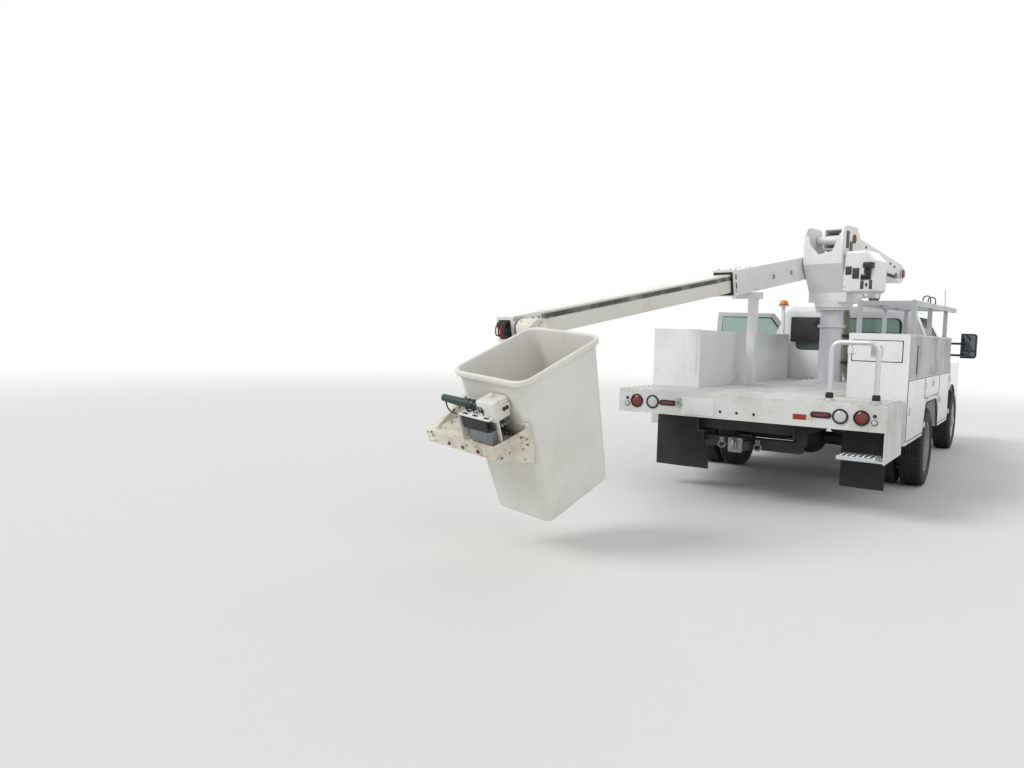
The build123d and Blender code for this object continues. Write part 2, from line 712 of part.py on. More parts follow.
for name, side in sides.items():
    turn = -side * door_open if name == "left" else 0
    hinge_line = Axis(at(cab_hinge_x, side * hinge_out, 0), (0, 0, 1))
    with BuildPart() as shut_door:
        add(cab_walls.part)
        side_prism(door_outline, side, swing_gap, Mode.INTERSECT)
        span(
            door_rear_x - 10, door_front_x + 10, 0, side * (cab_half_w - cab_wall),
            cab_floor, floor_face + 1, Mode.SUBTRACT,
        )
    with BuildPart() as window_hole:
        side_prism(window_outline, side, 0, Mode.ADD)
    with BuildPart() as cab_door:
        add((shut_door.part - window_hole.part).rotate(hinge_line, turn))
        for fixed, swung in cab_hinges[name]:
            add(swung.rotate(hinge_line, turn))
    save(cab_door, f"cab_door_{name}")
    with BuildPart() as pane_block:
        side_prism(window_outline, side, seat_gap, Mode.ADD)
    with BuildPart() as pane:
        add(((mid_skin.part - mid_core.part) & pane_block.part).rotate(hinge_line, turn))
    save(pane, f"door_glass_{name}")
    with BuildPart() as mirror_piece:
        for z in (1335, 1488):
            span(5188, 5222, side * (cab_half_w - 120), side * 1200, z - 14, z + 14)
        span(5170, 5262, side * 1168, side * 1350, 1298, 1622)
        fillet(mirror_piece.edges().filter_by(Axis.X).group_by(Axis.Y)[-1 if side > 0 else 0], 40)
    with BuildPart() as mirror:
        add((mirror_piece.part - cab_outer.part).rotate(hinge_line, turn))
    save(mirror, f"mirror_{name}")

# Front end: bonnet, wings with the radiator panel, grille and bumper
bonnet_half_w = 700.0
with BuildPart() as bonnet:
    with BuildSketch(Plane.XZ.offset(-(mid_y + bonnet_half_w))):
        with BuildLine():
            start = (tail_x + bonnet_back_x, 1150)
            top = (tail_x + bonnet_back_x, 1310)
            crest = (tail_x + 6500, 1260)
            nose = (tail_x + nose_x, 1190)
            rise = Line(start, top)
            run = Line(rise @ 1, crest)
            fall = ThreePointArc(run @ 1, (tail_x + 6680, 1235), nose)
            drop = Line(fall @ 1, (tail_x + nose_x, 1150))
            Line(drop @ 1, start)
        make_face()
    extrude(amount=2 * bonnet_half_w)
    span(bonnet_back_x - 1, nose_x - 30, -bonnet_half_w + 30, bonnet_half_w - 30, 1140, 1180, Mode.SUBTRACT)
    span(bonnet_back_x + 30, 6480, -bonnet_half_w + 30, bonnet_half_w - 30, 1150, 1225, Mode.SUBTRACT)
    for fixed, swung in bonnet_hinges:
        add(swung)
save(bonnet, "bonnet")

wing_in, wing_out = bonnet_half_w + swing_gap, cab_half_w + 15
with BuildPart() as front_wings:
    for side in (1, -1):
        span(bonnet_back_x, nose_x, side * wing_in, side * wing_out, 620, 1225)
        span(
            bonnet_back_x - 1, nose_x - 60, side * (wing_in + 40), side * (wing_out - 40), 600, 1185,
            Mode.SUBTRACT,
        )
        with Locations(Plane(at(front_x, side * 850, axle_z), z_dir=(0, 1, 0))):
            Cylinder(500, 400, mode=Mode.SUBTRACT)
    # Radiator panel between the wings, on the front cross member
    span(6640, 6700, -wing_in - 20, wing_in + 20, 620, 1140)
    span(rail_front_x + seat_gap, 6700, -rail_out_y, rail_out_y, 620, 760)
    span(6690, 6750, -wing_in - 20, wing_in + 20, 700, 760)
save(front_wings, "front_wings")

with BuildPart() as grille:
    span(6750 + seat_gap, 6830, -lamp_in + 10, lamp_in - 10, 740, 1140)
    for z in (790, 880, 970, 1060):
        span(6800, 6831, -lamp_in + 50, lamp_in - 50, z, z + 50, Mode.SUBTRACT)
save(grille, "grille")

with BuildPart() as front_bumper:
    span(6800, 6950, -1000, 1000, 480, 720)
    fillet(front_bumper.edges().filter_by(Axis.Z).group_by(Axis.X)[-1], 90)
    span(6799, 6930, -960, 960, 470, 700, Mode.SUBTRACT)
    for side in (1, -1):
        span(6700 + seat_gap, 6935, side * 340, side * 420, 630, 698)
save(front_bumper, "front_bumper")

# Cab inside: bench, back rest, dashboard, steering column and wheel
floor_z = tunnel_top + 60 + seat_gap
with BuildPart() as cab_interior:
    span(4110, 4640, -680, 680, floor_z, 1110)
    span(4080, 4200, -680, 680, floor_z, 1620)
    span(5250, cab_front_x - cab_wall - seat_gap, -860, 860, cowl_low + cab_wall + seat_gap, 1240)
    with BuildLine() as column:
        Line(at(5260, 400, 1180), at(5020, 400, 1230))
    with BuildSketch(Plane(origin=column.line @ 0, z_dir=column.line % 0)):
        Circle(22)
    sweep(path=column.line)
    with Locations(Plane(at(5020, 400, 1230), z_dir=column.line % 1)):
        Torus(185, 14)
        Box(360, 30, 12)
save(cab_interior, "cab_interior")

# Boom rest, rack and beacon
rest_x, rest_y, rest_half = 1830.0, 520.0, 45.0
upper_turn = radians(boom_turn)


def upper_low_z(s):
    """Height of the outer boom's underside, at a distance back from the slewing axis."""
    return upper_axis_z - s * tan(radians(upper_slope)) - outer_h / 2 / cos(radians(upper_slope))


rest_s = (slew_x - rest_x + rest_half) * cos(upper_turn) + (rest_y + 230) * sin(upper_turn)
rest_top = upper_low_z(rest_s) - swing_gap
with BuildPart() as boom_rest:
    span(rest_x - 45, rest_x + 45, rest_y - 45, rest_y + 45, deck_top + seat_gap, rest_top - 40)
    span(rest_x - rest_half, rest_x + rest_half, rest_y - 90, rest_y + 230, rest_top - 60, rest_top)
    span(rest_x - 100, rest_x + 100, rest_y - 150, rest_y + 150, deck_top + seat_gap, deck_top + 20)
save(boom_rest, "boom_rest")

rack_top = 1855.0
rack_rise = 0.0181  # the beams rise towards the front, by this much along the truck
rack_rear_x = 1120.0
beam_h = 50.0


def rack_z(x):
    """Height of the beams' upper side."""
    return rack_top + (x - rack_rear_x) * rack_rise


with BuildPart() as rack:
    for y, front_x_end in ((-700, 3870), (-1150, 4400)):
        mid_x = (rack_rear_x + front_x_end) / 2
        lean_deg = -degrees(atan(rack_rise))
        with Locations(Location(at(mid_x, y, rack_z(mid_x) - beam_h / 2), (0, lean_deg, 0))):
            Box(front_x_end - rack_rear_x, 40, beam_h)
    for y, spots in ((-700, (1140, 2400, 3800)), (-1150, (1140, 2200, 3500))):
        for x in spots:
            span(x - 20, x + 20, y - 20, y + 20, cabinet_top + seat_gap, rack_z(x) - beam_h / 2)
            span(x - 55, x + 55, y - 30, y + 30, cabinet_top + seat_gap, cabinet_top + 8)
    for x in (1140, 2050, 2960, 3800):
        span(x - 20, x + 20, -700, -1150, rack_z(x) - beam_h + 5, rack_z(x) - 5)
save(rack, "rack")

# Pedestal on the deck, and the slewing ring on top of it
with BuildPart() as pedestal:
    with Locations(at(slew_x, 0, deck_top + seat_gap)):
        Box(620, 620, 25, align=(Align.CENTER, Align.CENTER, Align.MIN))
        Cylinder(140, ring_z - 60 - deck_top, align=(Align.CENTER, Align.CENTER, Align.MIN))
    with Locations(at(slew_x, 0, ring_z - 90)):
        Cylinder(200, 30, align=(Align.CENTER, Align.CENTER, Align.MIN))
    with Locations(at(slew_x, 0, 1650)):
        Cylinder(165, 30)
save(pedestal, "pedestal")

# Aerial device. Its frame: along the boom's forward direction, left, and up
forward = Vector(cos(upper_turn), -sin(upper_turn), 0)
aloft_frame = Plane(at(slew_x, 0, 0), x_dir=forward, z_dir=(0, 0, 1))
left = Vector(sin(upper_turn), cos(upper_turn), 0)


def block(f0, f1, l0, l1, z0, z1, mode=Mode.ADD):
    """A block between two corners in the aerial device's frame."""
    with Locations(((f0 + f1) / 2, (l0 + l1) / 2, (z0 + z1) / 2)):
        Box(abs(f1 - f0), abs(l1 - l0), abs(z1 - z0), mode=mode)


def cross_pin(f, z, radius, l0, l1, mode=Mode.ADD):
    """A pin or hole across the booms."""
    with Locations(Location((f, (l0 + l1) / 2, z), (90, 0, 0))):
        Cylinder(radius, abs(l1 - l0), mode=mode)


def upright(l):
    """A sketch plane facing right at a distance left of the slewing axis, drawn in (f, z)."""
    return Plane(aloft_frame.origin + left * l, x_dir=forward, z_dir=left * -1)


def plate(outline, l0, l1, mode=Mode.ADD):
    """An upright plate between two distances left of the slewing axis."""
    with BuildSketch(upright(max(l0, l1))) as face:
        with BuildLine():
            Polyline(*outline, close=True)
        make_face()
    extrude(face.sketch, amount=abs(l1 - l0), mode=mode)


cheek_t = 20.0
heel_pin_r = 32.0
ram_pin_r = 20.0
lift_base = (-60.0, 2020.0)  # lower lift cylinder's base pin, as (f, z)
cheek_outline = [
    (-190, ring_z), (-190, 2040), (-385, 2360), (-385, 2705), (-345, 2775), (-270, 2800),
    (10, 2800), (105, 2700), (200, 2350), (255, 2120), (255, ring_z),
]
rear_wall = [
    (-190, ring_z), (-190, 2040), (-385, 2360), (-385, 2700), (-365, 2700), (-365, 2366),
    (-170, 2046), (-170, ring_z),
]
with BuildPart(aloft_frame) as turret:
    with Locations((0, 0, ring_z - 59.5)):
        Cylinder(215, 59.5, align=(Align.CENTER, Align.CENTER, Align.MIN))
    block(-190, 255, -turret_half_w, turret_half_w, ring_z - 1, ring_z + 30)
    for side in (1, -1):
        plate(cheek_outline, side * turret_half_w, side * (turret_half_w - cheek_t))
        block(
            lift_base[0] - 45, lift_base[0] + 45, side * 51, side * 66, ring_z + 20, lift_base[1] + 35,
        )
    plate(rear_wall, -turret_half_w, turret_half_w)
    # The rear plate's open throat, seen between the cheeks
    with BuildSketch(Plane(aloft_frame.origin - forward * 400, x_dir=left, z_dir=forward)) as throat:
        with BuildLine():
            FilletPolyline(
                (-198, 2800), (-190, 2700), (-112, 2500), (50, 2470), (152, 2590), (198, 2800),
                radius=45, close=True,
            )
        make_face()
    extrude(throat.sketch, amount=60, mode=Mode.SUBTRACT)
    with Locations((-100, 0, ring_z + 20)):
        Cylinder(90, 30)
    block(60, 240, -turret_half_w, turret_half_w, ring_z + 25, ring_z + 60)
    cross_pin(heel_f, heel_z, heel_pin_r, -turret_half_w - 8, turret_half_w + 8)
    cross_pin(lift_base[0], lift_base[1], ram_pin_r, -72, 72)
save(turret, "turret")

cover_z = (2030.0, 2500.0)
cover_out = 355.0  # its reach beyond the right cheek
with BuildPart(aloft_frame) as turret_cover:
    cover_plane = Plane(aloft_frame.origin + forward * 30, x_dir=left * -1, z_dir=forward * -1)
    with BuildSketch(cover_plane) as cover_face:
        with BuildLine():
            near = turret_half_w + seat_gap
            FilletPolyline(
                (near, cover_z[0]), (near + cover_out, cover_z[0]), (near + cover_out, cover_z[1] - 120),
                (near + cover_out - 105, cover_z[1]), (near, cover_z[1]), radius=45, close=True,
            )
        make_face()
    extrude(cover_face.sketch, amount=360)
    fillet(turret_cover.edges().group_by(Axis(aloft_frame.origin, forward))[0], 30)
save(turret_cover, "turret_cover")

# Lower boom, in its own frame: along the boom from its heel pin, left, and up
slope = radians(lower_slope)
lower_along = forward * cos(slope) - Vector(0, 0, sin(slope))
lower_up = forward * sin(slope) + Vector(0, 0, cos(slope))
heel_place = aloft_frame.from_local_coords(Vector(heel_f, 0, heel_z))
lower_frame = Plane(heel_place, x_dir=lower_along, z_dir=lower_up)
lower_w, lower_h, boom_wall = 220.0, 240.0, 9.0
lift_eye = (620.0, -185.0)  # lower lift cylinder's rod eye, along and up from the heel pin
elbow_pin_r = 36.0


def lug(x, z, z_top, half_in, thick, reach):
    """A pair of lug plates with pin heads outside them, round an eye that hangs between."""
    for side in (1, -1):
        block(x - reach, x + reach, side * half_in, side * (half_in + thick), z - reach, z_top)
        cross_pin(x, z, ram_pin_r, side * (half_in + thick - 1), side * (half_in + thick + 12))


with BuildPart(lower_frame) as lower_boom:
    block(-55, lower_len, -lower_w / 2, lower_w / 2, -lower_h / 2, lower_h / 2)
    cross_pin(lower_len, 0, lower_h / 2, -lower_w / 2, lower_w / 2)
    block(
        -56, lower_len + 60, -lower_w / 2 + boom_wall, lower_w / 2 - boom_wall,
        -lower_h / 2 + boom_wall, lower_h / 2 - boom_wall, Mode.SUBTRACT,
    )
    cross_pin(0, 0, 56, -turret_half_w + cheek_t + 6, turret_half_w - cheek_t - 6)
    cross_pin(lower_len, 0, 70, -lower_w / 2 - 12, lower_w / 2 + 12)
    cross_pin(0, 0, heel_pin_r + pin_gap, -200, 200, Mode.SUBTRACT)
    cross_pin(lower_len, 0, elbow_pin_r + pin_gap, -200, 200, Mode.SUBTRACT)
    lug(lift_eye[0], lift_eye[1], -lower_h / 2 + 1, 50, 12, 38)
save(lower_boom, "lower_boom")

# Elbow: a casting that stays level, with the upper boom's pin and its cylinder's base
elbow_f = heel_f + lower_len * cos(slope)
elbow_z = heel_z - lower_len * sin(slope)
upper_base = (elbow_f - 200, elbow_z - 250)  # upper lift cylinder's base pin, as (f, z)
cast_in, cast_out = lower_w / 2 + 18, 222.0
boss_r = 110.0
with BuildPart(aloft_frame) as elbow:
    cross_pin(elbow_f, elbow_z, elbow_pin_r, -lower_w / 2 - 30, upper_side + 130)
    cross_pin(elbow_f, elbow_z, 62, -lower_w / 2 - 30, -lower_w / 2 - 18)
    cross_pin(elbow_f, elbow_z, 62, upper_side + 118, upper_side + 130)
    cross_pin(elbow_f, elbow_z, 160, cast_in, cast_out)
    plate(
        [
            (elbow_f - 150, elbow_z - 20), (elbow_f + 60, elbow_z - 120), (elbow_f - 60, elbow_z - 330),
            (elbow_f - 260, elbow_z - 330), (elbow_f - 260, elbow_z - 240),
        ],
        cast_in, cast_out,
    )
    block(
        upper_base[0] - 55, upper_base[0] + 55, cast_in, upper_side + 70,
        upper_base[1] - 80, upper_base[1] - 45,
    )
    for side in (1, -1):
        block(
            upper_base[0] - 40, upper_base[0] + 40, upper_side + side * 51, upper_side + side * 66,
            upper_base[1] - 60, upper_base[1] + 34,
        )
    cross_pin(upper_base[0], upper_base[1], ram_pin_r, upper_side - 72, upper_side + 72)
save(elbow, "elbow")

# Upper boom, in its own frame: back along the boom from the slewing axis, right, and up
fall = radians(upper_slope)
back_along = forward * -cos(fall) - Vector(0, 0, sin(fall))
upper_up = forward * -sin(fall) + Vector(0, 0, cos(fall))
upper_place = aloft_frame.from_local_coords(Vector(0, upper_side, upper_axis_z))
upper_frame = Plane(upper_place, x_dir=back_along, z_dir=upper_up)
elbow_place = upper_frame.to_local_coords(
    aloft_frame.from_local_coords(Vector(elbow_f, upper_side, elbow_z))
)
pin_x, pin_z = elbow_place.X, elbow_place.Z
rod_eye = (-724.0, -210.0)  # upper lift cylinder's rod eye, in this frame
arm_dir = Vector(outer_rear_s - pin_x, 0, -pin_z).normalized()
arm_up = Vector(-arm_dir.Z, 0, arm_dir.X)


def arm_outline(inset):
    """The tapering arm from the box's front end to the boss round the elbow's pin."""
    half = outer_h / 2 - inset
    top = Vector(pin_x, 0, pin_z) + arm_up * (boss_r - inset)
    low = Vector(pin_x, 0, pin_z) - arm_up * (boss_r - inset)
    return [(outer_rear_s + 20, half), (outer_rear_s + 20, -half), (low.X, low.Z), (top.X, top.Z)]


def upper_plate(outline, half, mode=Mode.ADD):
    """A plate in the upper boom's frame, across it by half each way."""
    side_plane = Plane(
        upper_frame.origin + upper_frame.y_dir * -half, x_dir=back_along, z_dir=upper_frame.y_dir * -1,
    )
    with BuildSketch(side_plane) as face:
        with BuildLine():
            Polyline(*outline, close=True)
        make_face()
    extrude(face.sketch, amount=-2 * half, mode=mode)


collar_len, collar_rise, collar_gap = 62.0, 16.0, 0.5
with BuildPart(upper_frame) as upper_boom:
    block(outer_rear_s, collar_s, -outer_w / 2, outer_w / 2, -outer_h / 2, outer_h / 2)
    block(
        collar_s - collar_len, collar_s, -outer_w / 2 - 14, outer_w / 2 + 14, -outer_h / 2,
        outer_h / 2 + collar_rise,
    )
    upper_plate(arm_outline(0), outer_w / 2)
    cross_pin(pin_x, pin_z, boss_r, -outer_w / 2, outer_w / 2)
    # Hollow: the box is open at its front into the arm
    block(
        outer_rear_s + 30, collar_s - 30, -outer_w / 2 + boom_wall, outer_w / 2 - boom_wall,
        -outer_h / 2 + boom_wall, outer_h / 2 - boom_wall, Mode.SUBTRACT,
    )
    block(
        collar_s - 31, collar_s + 1, -inner_w / 2 - collar_gap, inner_w / 2 + collar_gap,
        -inner_h / 2 - collar_gap, inner_h / 2 + collar_gap, Mode.SUBTRACT,
    )
    upper_plate(arm_outline(14), outer_w / 2 - 14, Mode.SUBTRACT)
    cross_pin(pin_x, pin_z, 66, -outer_w / 2, outer_w / 2)
    cross_pin(pin_x, pin_z, elbow_pin_r + pin_gap, -outer_w, outer_w, Mode.SUBTRACT)
    lug(rod_eye[0], rod_eye[1], -outer_h / 2 + 1, 50, 12, 38)
save(upper_boom, "upper_boom")

inner_start = 350.0
with BuildPart(upper_frame) as inner_boom:
    block(inner_start, tip_s - 320, -inner_w / 2, inner_w / 2, -inner_h / 2, inner_h / 2)
    block(
        inner_start - 1, tip_s - 319, -inner_w / 2 + 11, inner_w / 2 - 11,
        -inner_h / 2 + 11, inner_h / 2 - 11, Mode.SUBTRACT,
    )
save(inner_boom, "inner_boom")

tip_pin_s = 5110.0
tip_pin_r = 30.0
arm_gap = 6.0
with BuildPart(upper_frame) as boom_tip:
    block(tip_s - 319.5, tip_s, -inner_w / 2 - 6, inner_w / 2 + 6, -inner_h / 2 - 6, inner_h / 2 + 6)
    cross_pin(tip_pin_s, 0, tip_pin_r, 80, 350)
    cross_pin(tip_pin_s, 0, 48, 343, 355)
save(boom_tip, "boom_tip")

# Platform: a levelling plate on the boom tip, then the bracket that tilts with the bucket
level_in = inner_w / 2 + 6 + arm_gap
level_out = level_in + 30
with BuildPart(upper_frame) as level_plate:
    cross_pin(tip_pin_s, 0, 92, level_in, level_out)
    cross_pin(tip_pin_s, 0, tip_pin_r + pin_gap, level_in - 1, level_out + 1, Mode.SUBTRACT)
save(level_plate, "level_plate")

bucket_up = Vector(-0.384, -0.014, 0.923).normalized()
bucket_front = Vector(0.910, -0.174, 0.376)
bucket_front = (bucket_front - bucket_up * bucket_front.dot(bucket_up)).normalized()
bucket_rim = Vector(*at(-2440, 600, 1340))
bucket_frame = Plane(bucket_rim, x_dir=bucket_front, z_dir=bucket_up)
rim_len, rim_wide, bucket_deep, bucket_taper = 810.0, 660.0, 1070.0, 60.0
bucket_wall = 8.0
tip_place = aloft_frame.to_local_coords(
    upper_frame.from_local_coords(Vector(tip_pin_s, 0, 0))
)
bracket_l = (12.0, 52.0)
with BuildPart(aloft_frame) as bracket_arm:
    pf, pz = tip_place.X, tip_place.Z
    hub_side = upper_side - level_out - arm_gap
    cross_pin(pf, pz, 80, bracket_l[0], hub_side)
    plate(
        [
            (pf + 60, pz + 40), (pf + 40, pz - 90), (pf - 880, 700), (pf - 1010, 740),
            (pf - 990, 830), (pf - 60, pz + 75),
        ],
        bracket_l[0], bracket_l[1],
    )
    cross_pin(pf, pz, tip_pin_r + pin_gap, bracket_l[0] - 1, hub_side + 1, Mode.SUBTRACT)


def bucket_plane(place, x_dir, z_dir):
    """A plane given in the bucket's own frame."""
    axes = (bucket_frame.x_dir, bucket_frame.y_dir, bucket_frame.z_dir)
    turned_dirs = [sum((a * v for a, v in zip(axes, d)), Vector(0, 0, 0)) for d in (x_dir, z_dir)]
    return Plane(bucket_frame.from_local_coords(Vector(*place)), x_dir=turned_dirs[0], z_dir=turned_dirs[1])


lip, lip_h = 22.0, 42.0
shelf_z = -390.0  # the bracket's shelf, below the rim
shelf_back, shelf_front = -368.0, -580.0
shelf_left, shelf_right = 480.0, -275.0
shelf_corner = -150.0
skirt = 80.0
face_x = -(rim_len / 2 - lip) - bucket_taper * (shelf_z - 50) / bucket_deep
face_back = bucket_plane((face_x, 0, shelf_z - 50), (0, 1, 0), (-bucket_deep, 0, -bucket_taper))
with BuildPart(bucket_frame) as tray:
    with BuildSketch(bucket_frame.offset(shelf_z - 10)) as shelf:
        with BuildLine():
            Polyline(
                (shelf_back, shelf_right), (shelf_front, shelf_corner), (shelf_front, shelf_left),
                (shelf_back, shelf_left), close=True,
            )
        make_face()
    extrude(shelf.sketch, amount=10)
    block(shelf_front, shelf_front + 10, shelf_corner, shelf_left, shelf_z - skirt, shelf_z)
    run = (shelf_front - shelf_back, shelf_corner - shelf_right)
    run_len = (run[0] ** 2 + run[1] ** 2) ** 0.5
    gusset_plane = bucket_plane((shelf_back, shelf_right, 0), (run[0], run[1], 0), (-run[1], run[0], 0))
    with BuildSketch(gusset_plane) as gusset:
        with BuildLine():
            # Across the run, so that up on the bucket is the sketch's second direction
            tall = [(0, 70), (0, -185), (run_len, -skirt), (run_len, 4)]
            Polyline(*[(d, -(shelf_z + z)) for d, z in tall], close=True)
        make_face()
        with Locations(*[(60, -(shelf_z + z)) for z in (20, -60, -130)]):
            Circle(9, mode=Mode.SUBTRACT)
    extrude(gusset.sketch, amount=-12)
    with Locations(Location((-520, shelf_left - 30, shelf_z - 40), (90, 0, 0))):
        Cylinder(52, 90)
    # Cover plate standing on the shelf's left end
    with BuildSketch(bucket_plane((-500, 0, 0), (0, 1, 0), (-1, 0, 0))) as stand:
        with BuildLine():
            Polyline(
                (170, -shelf_z + 5), (200, -shelf_z - 115), (330, -shelf_z - 60),
                (450, -shelf_z + 5), close=True,
            )
        make_face()
    extrude(stand.sketch, amount=12)
with BuildPart() as platform_bracket:
    add(bracket_arm.part)
    add(tray.part)
    with Locations(face_back.offset(seat_gap + 6)):
        Box(560, 300, 12)
    with Locations(face_back.offset(seat_gap + 6)):
        with Locations((150, 0)):
            Box(660, 90, 12)
save(platform_bracket, "platform_bracket")

# Upper controls on the shelf: valve block, lever box, a lower box and the single handle
with BuildPart(bucket_frame) as controls:
    block(-520, -385, -160, 60, shelf_z + seat_gap, -110)
    chamfer(controls.edges().filter_by(Axis(bucket_frame.origin, bucket_frame.y_dir)).group_by(
        Axis(bucket_frame.origin, bucket_frame.z_dir))[-1], 18)
    block(-568, -470, -150, 130, shelf_z + seat_gap + 80, -200)
    block(-560, -480, -130, 60, shelf_z + seat_gap, -290)
    block(-565, -540, -140, 120, -330, -205)
    with Locations(Location((-470, 60, -175), (-90, 0, 0))):
        Cylinder(22, 120, align=(Align.CENTER, Align.CENTER, Align.MIN))
    with Locations(Location((-470, 160, -176), (-88, 0, 0))):
        Cylinder(29, 190, align=(Align.CENTER, Align.CENTER, Align.MIN))
save(controls, "controls")


def bucket_ring(height, inset, radius):
    """The bucket's outline at a height on its own axis, drawn in by inset."""
    ring = Plane(bucket_frame.from_local_coords(Vector(0, 0, height)), x_dir=bucket_front, z_dir=bucket_up)
    shrink = 2 * inset - 2 * bucket_taper * height / bucket_deep
    with BuildSketch(ring) as outline_face:
        RectangleRounded(rim_len - 2 * lip - shrink, rim_wide - 2 * lip - shrink, radius)
    return outline_face.sketch


with BuildPart() as bucket:
    loft([bucket_ring(-1, 0, 90), bucket_ring(-bucket_deep, 0, 70)])
    extrude(bucket_ring(-lip_h, -lip, 100), amount=lip_h)
    loft(
        [bucket_ring(1, bucket_wall, 84), bucket_ring(-bucket_deep + bucket_wall, bucket_wall, 64)],
        mode=Mode.SUBTRACT,
    )
save(bucket, "bucket")


def ram(name, base, eye, l_mid, barrel_len, rod_start):
    """A lift cylinder between two places (f, z): its barrel and its rod."""
    along = Vector(eye[0] - base[0], 0, eye[1] - base[1])
    length = along.length
    axis_dir = forward * (along.X / length) + Vector(0, 0, along.Z / length)
    start = aloft_frame.from_local_coords(Vector(base[0], l_mid, base[1]))
    line = Plane(start, x_dir=left, z_dir=axis_dir)
    across = Plane(start, x_dir=axis_dir, z_dir=left)
    with BuildPart() as barrel:
        with Locations(line.offset(30)):
            Cylinder(45, barrel_len - 30, align=(Align.CENTER, Align.CENTER, Align.MIN))
        with Locations(line.offset(barrel_len - 40)):
            Cylinder(50, 40, align=(Align.CENTER, Align.CENTER, Align.MIN))
        with Locations(across):
            Cylinder(36, 88)
            Cylinder(ram_pin_r + pin_gap, 90, mode=Mode.SUBTRACT)
        with Locations(line.offset(rod_start - 6)):
            Cylinder(26, barrel_len, align=(Align.CENTER, Align.CENTER, Align.MIN), mode=Mode.SUBTRACT)
    save(barrel, f"{name}_barrel")
    far = Plane(start + axis_dir * length, x_dir=axis_dir, z_dir=left)
    with BuildPart() as rod:
        with Locations(line.offset(rod_start)):
            Cylinder(25, length - rod_start, align=(Align.CENTER, Align.CENTER, Align.MIN))
        with Locations(far):
            Cylinder(34, 88)
    save(rod, f"{name}_rod")


def to_aloft(frame, x, z):
    """A place in a boom's own frame, as (f, z) in the aerial device's frame."""
    place = aloft_frame.to_local_coords(frame.from_local_coords(Vector(x, 0, z)))
    return (place.X, place.Z)


ram("lower_lift", lift_base, to_aloft(lower_frame, *lift_eye), 0, 620, 56)
ram("upper_lift", upper_base, to_aloft(upper_frame, *rod_eye), upper_side, 780, 300)
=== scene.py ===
"""Dresses the utility truck with its aerial device: finishes, treads, fittings, hoses and light."""
import json
import math

import bmesh
import bpy
import numpy as np
from mathutils import Matrix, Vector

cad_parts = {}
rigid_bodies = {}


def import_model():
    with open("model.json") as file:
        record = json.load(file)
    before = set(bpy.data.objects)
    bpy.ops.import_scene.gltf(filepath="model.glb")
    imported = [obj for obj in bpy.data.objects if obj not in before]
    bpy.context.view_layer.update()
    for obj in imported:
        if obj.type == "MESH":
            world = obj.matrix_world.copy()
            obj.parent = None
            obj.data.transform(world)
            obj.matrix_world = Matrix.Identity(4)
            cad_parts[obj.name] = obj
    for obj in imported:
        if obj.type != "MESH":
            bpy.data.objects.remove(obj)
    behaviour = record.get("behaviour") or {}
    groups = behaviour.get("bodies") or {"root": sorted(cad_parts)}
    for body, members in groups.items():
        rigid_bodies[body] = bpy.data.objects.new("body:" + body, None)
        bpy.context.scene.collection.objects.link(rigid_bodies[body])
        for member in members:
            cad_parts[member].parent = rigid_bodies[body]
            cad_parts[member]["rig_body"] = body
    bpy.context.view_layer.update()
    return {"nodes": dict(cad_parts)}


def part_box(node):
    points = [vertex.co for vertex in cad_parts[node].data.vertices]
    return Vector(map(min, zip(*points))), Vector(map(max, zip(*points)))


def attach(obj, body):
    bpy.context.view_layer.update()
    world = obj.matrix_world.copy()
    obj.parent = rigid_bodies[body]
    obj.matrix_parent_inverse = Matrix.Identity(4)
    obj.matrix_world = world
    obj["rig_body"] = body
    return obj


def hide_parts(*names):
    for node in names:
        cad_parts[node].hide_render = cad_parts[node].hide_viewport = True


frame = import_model()
nodes = frame["nodes"]

# The camera stands behind the truck's tail, off its right-hand corner, with a wide phone lens at
# chest height, slightly tipped down and rolled.
tail_middle = np.array([-2.035, -0.334, 0.0])
focal_px, picture_px, sensor_mm = 778.38, 1024, 36.0
ahead, leftward, skyward = np.eye(3)
rearward = -ahead


def put(axes, a, b, c):
    """A place a, b, c in mm along a frame's own axes, as metres in the row frame."""
    a, b, c = np.broadcast_arrays(a, b, c)
    return axes[0] + (a[..., None] * axes[1] + b[..., None] * axes[2] + c[..., None] * axes[3]) / 1000


truck = (tail_middle, ahead, leftward, skyward)
yaw, pitch, roll = np.radians([34.953, 3.72, 1.612])
gaze = np.array([math.cos(yaw) * math.cos(pitch), math.sin(yaw) * math.cos(pitch), -math.sin(pitch)])
level = np.array([math.sin(yaw), -math.cos(yaw), 0.0])
upward = np.cross(level, gaze)
view_right = level * math.cos(roll) + upward * math.sin(roll)
view_up = upward * math.cos(roll) - level * math.sin(roll)
eye = put(truck, -6643.0, -2227.0, 1459.0)
camera = bpy.data.objects.new("camera", bpy.data.cameras.new("camera"))
bpy.context.scene.collection.objects.link(camera)
camera.data.sensor_fit = "HORIZONTAL"
camera.data.sensor_width = sensor_mm
camera.data.lens = focal_px * sensor_mm / picture_px
camera.data.clip_end = 300
camera.matrix_world = Matrix(
    [[view_right[i], view_up[i], -gaze[i], eye[i]] for i in range(3)] + [[0, 0, 0, 1]]
)
bpy.context.scene.camera = camera
bpy.context.scene.view_settings.view_transform = "Standard"


def linear(code, alpha=1.0):
    """An sRGB hex colour as linear RGBA."""
    parts = np.array([int(code[i:i + 2], 16) / 255 for i in (1, 3, 5)])
    parts = np.where(parts <= 0.04045, parts / 12.92, ((parts + 0.055) / 1.055) ** 2.4)
    return (*parts.tolist(), alpha)


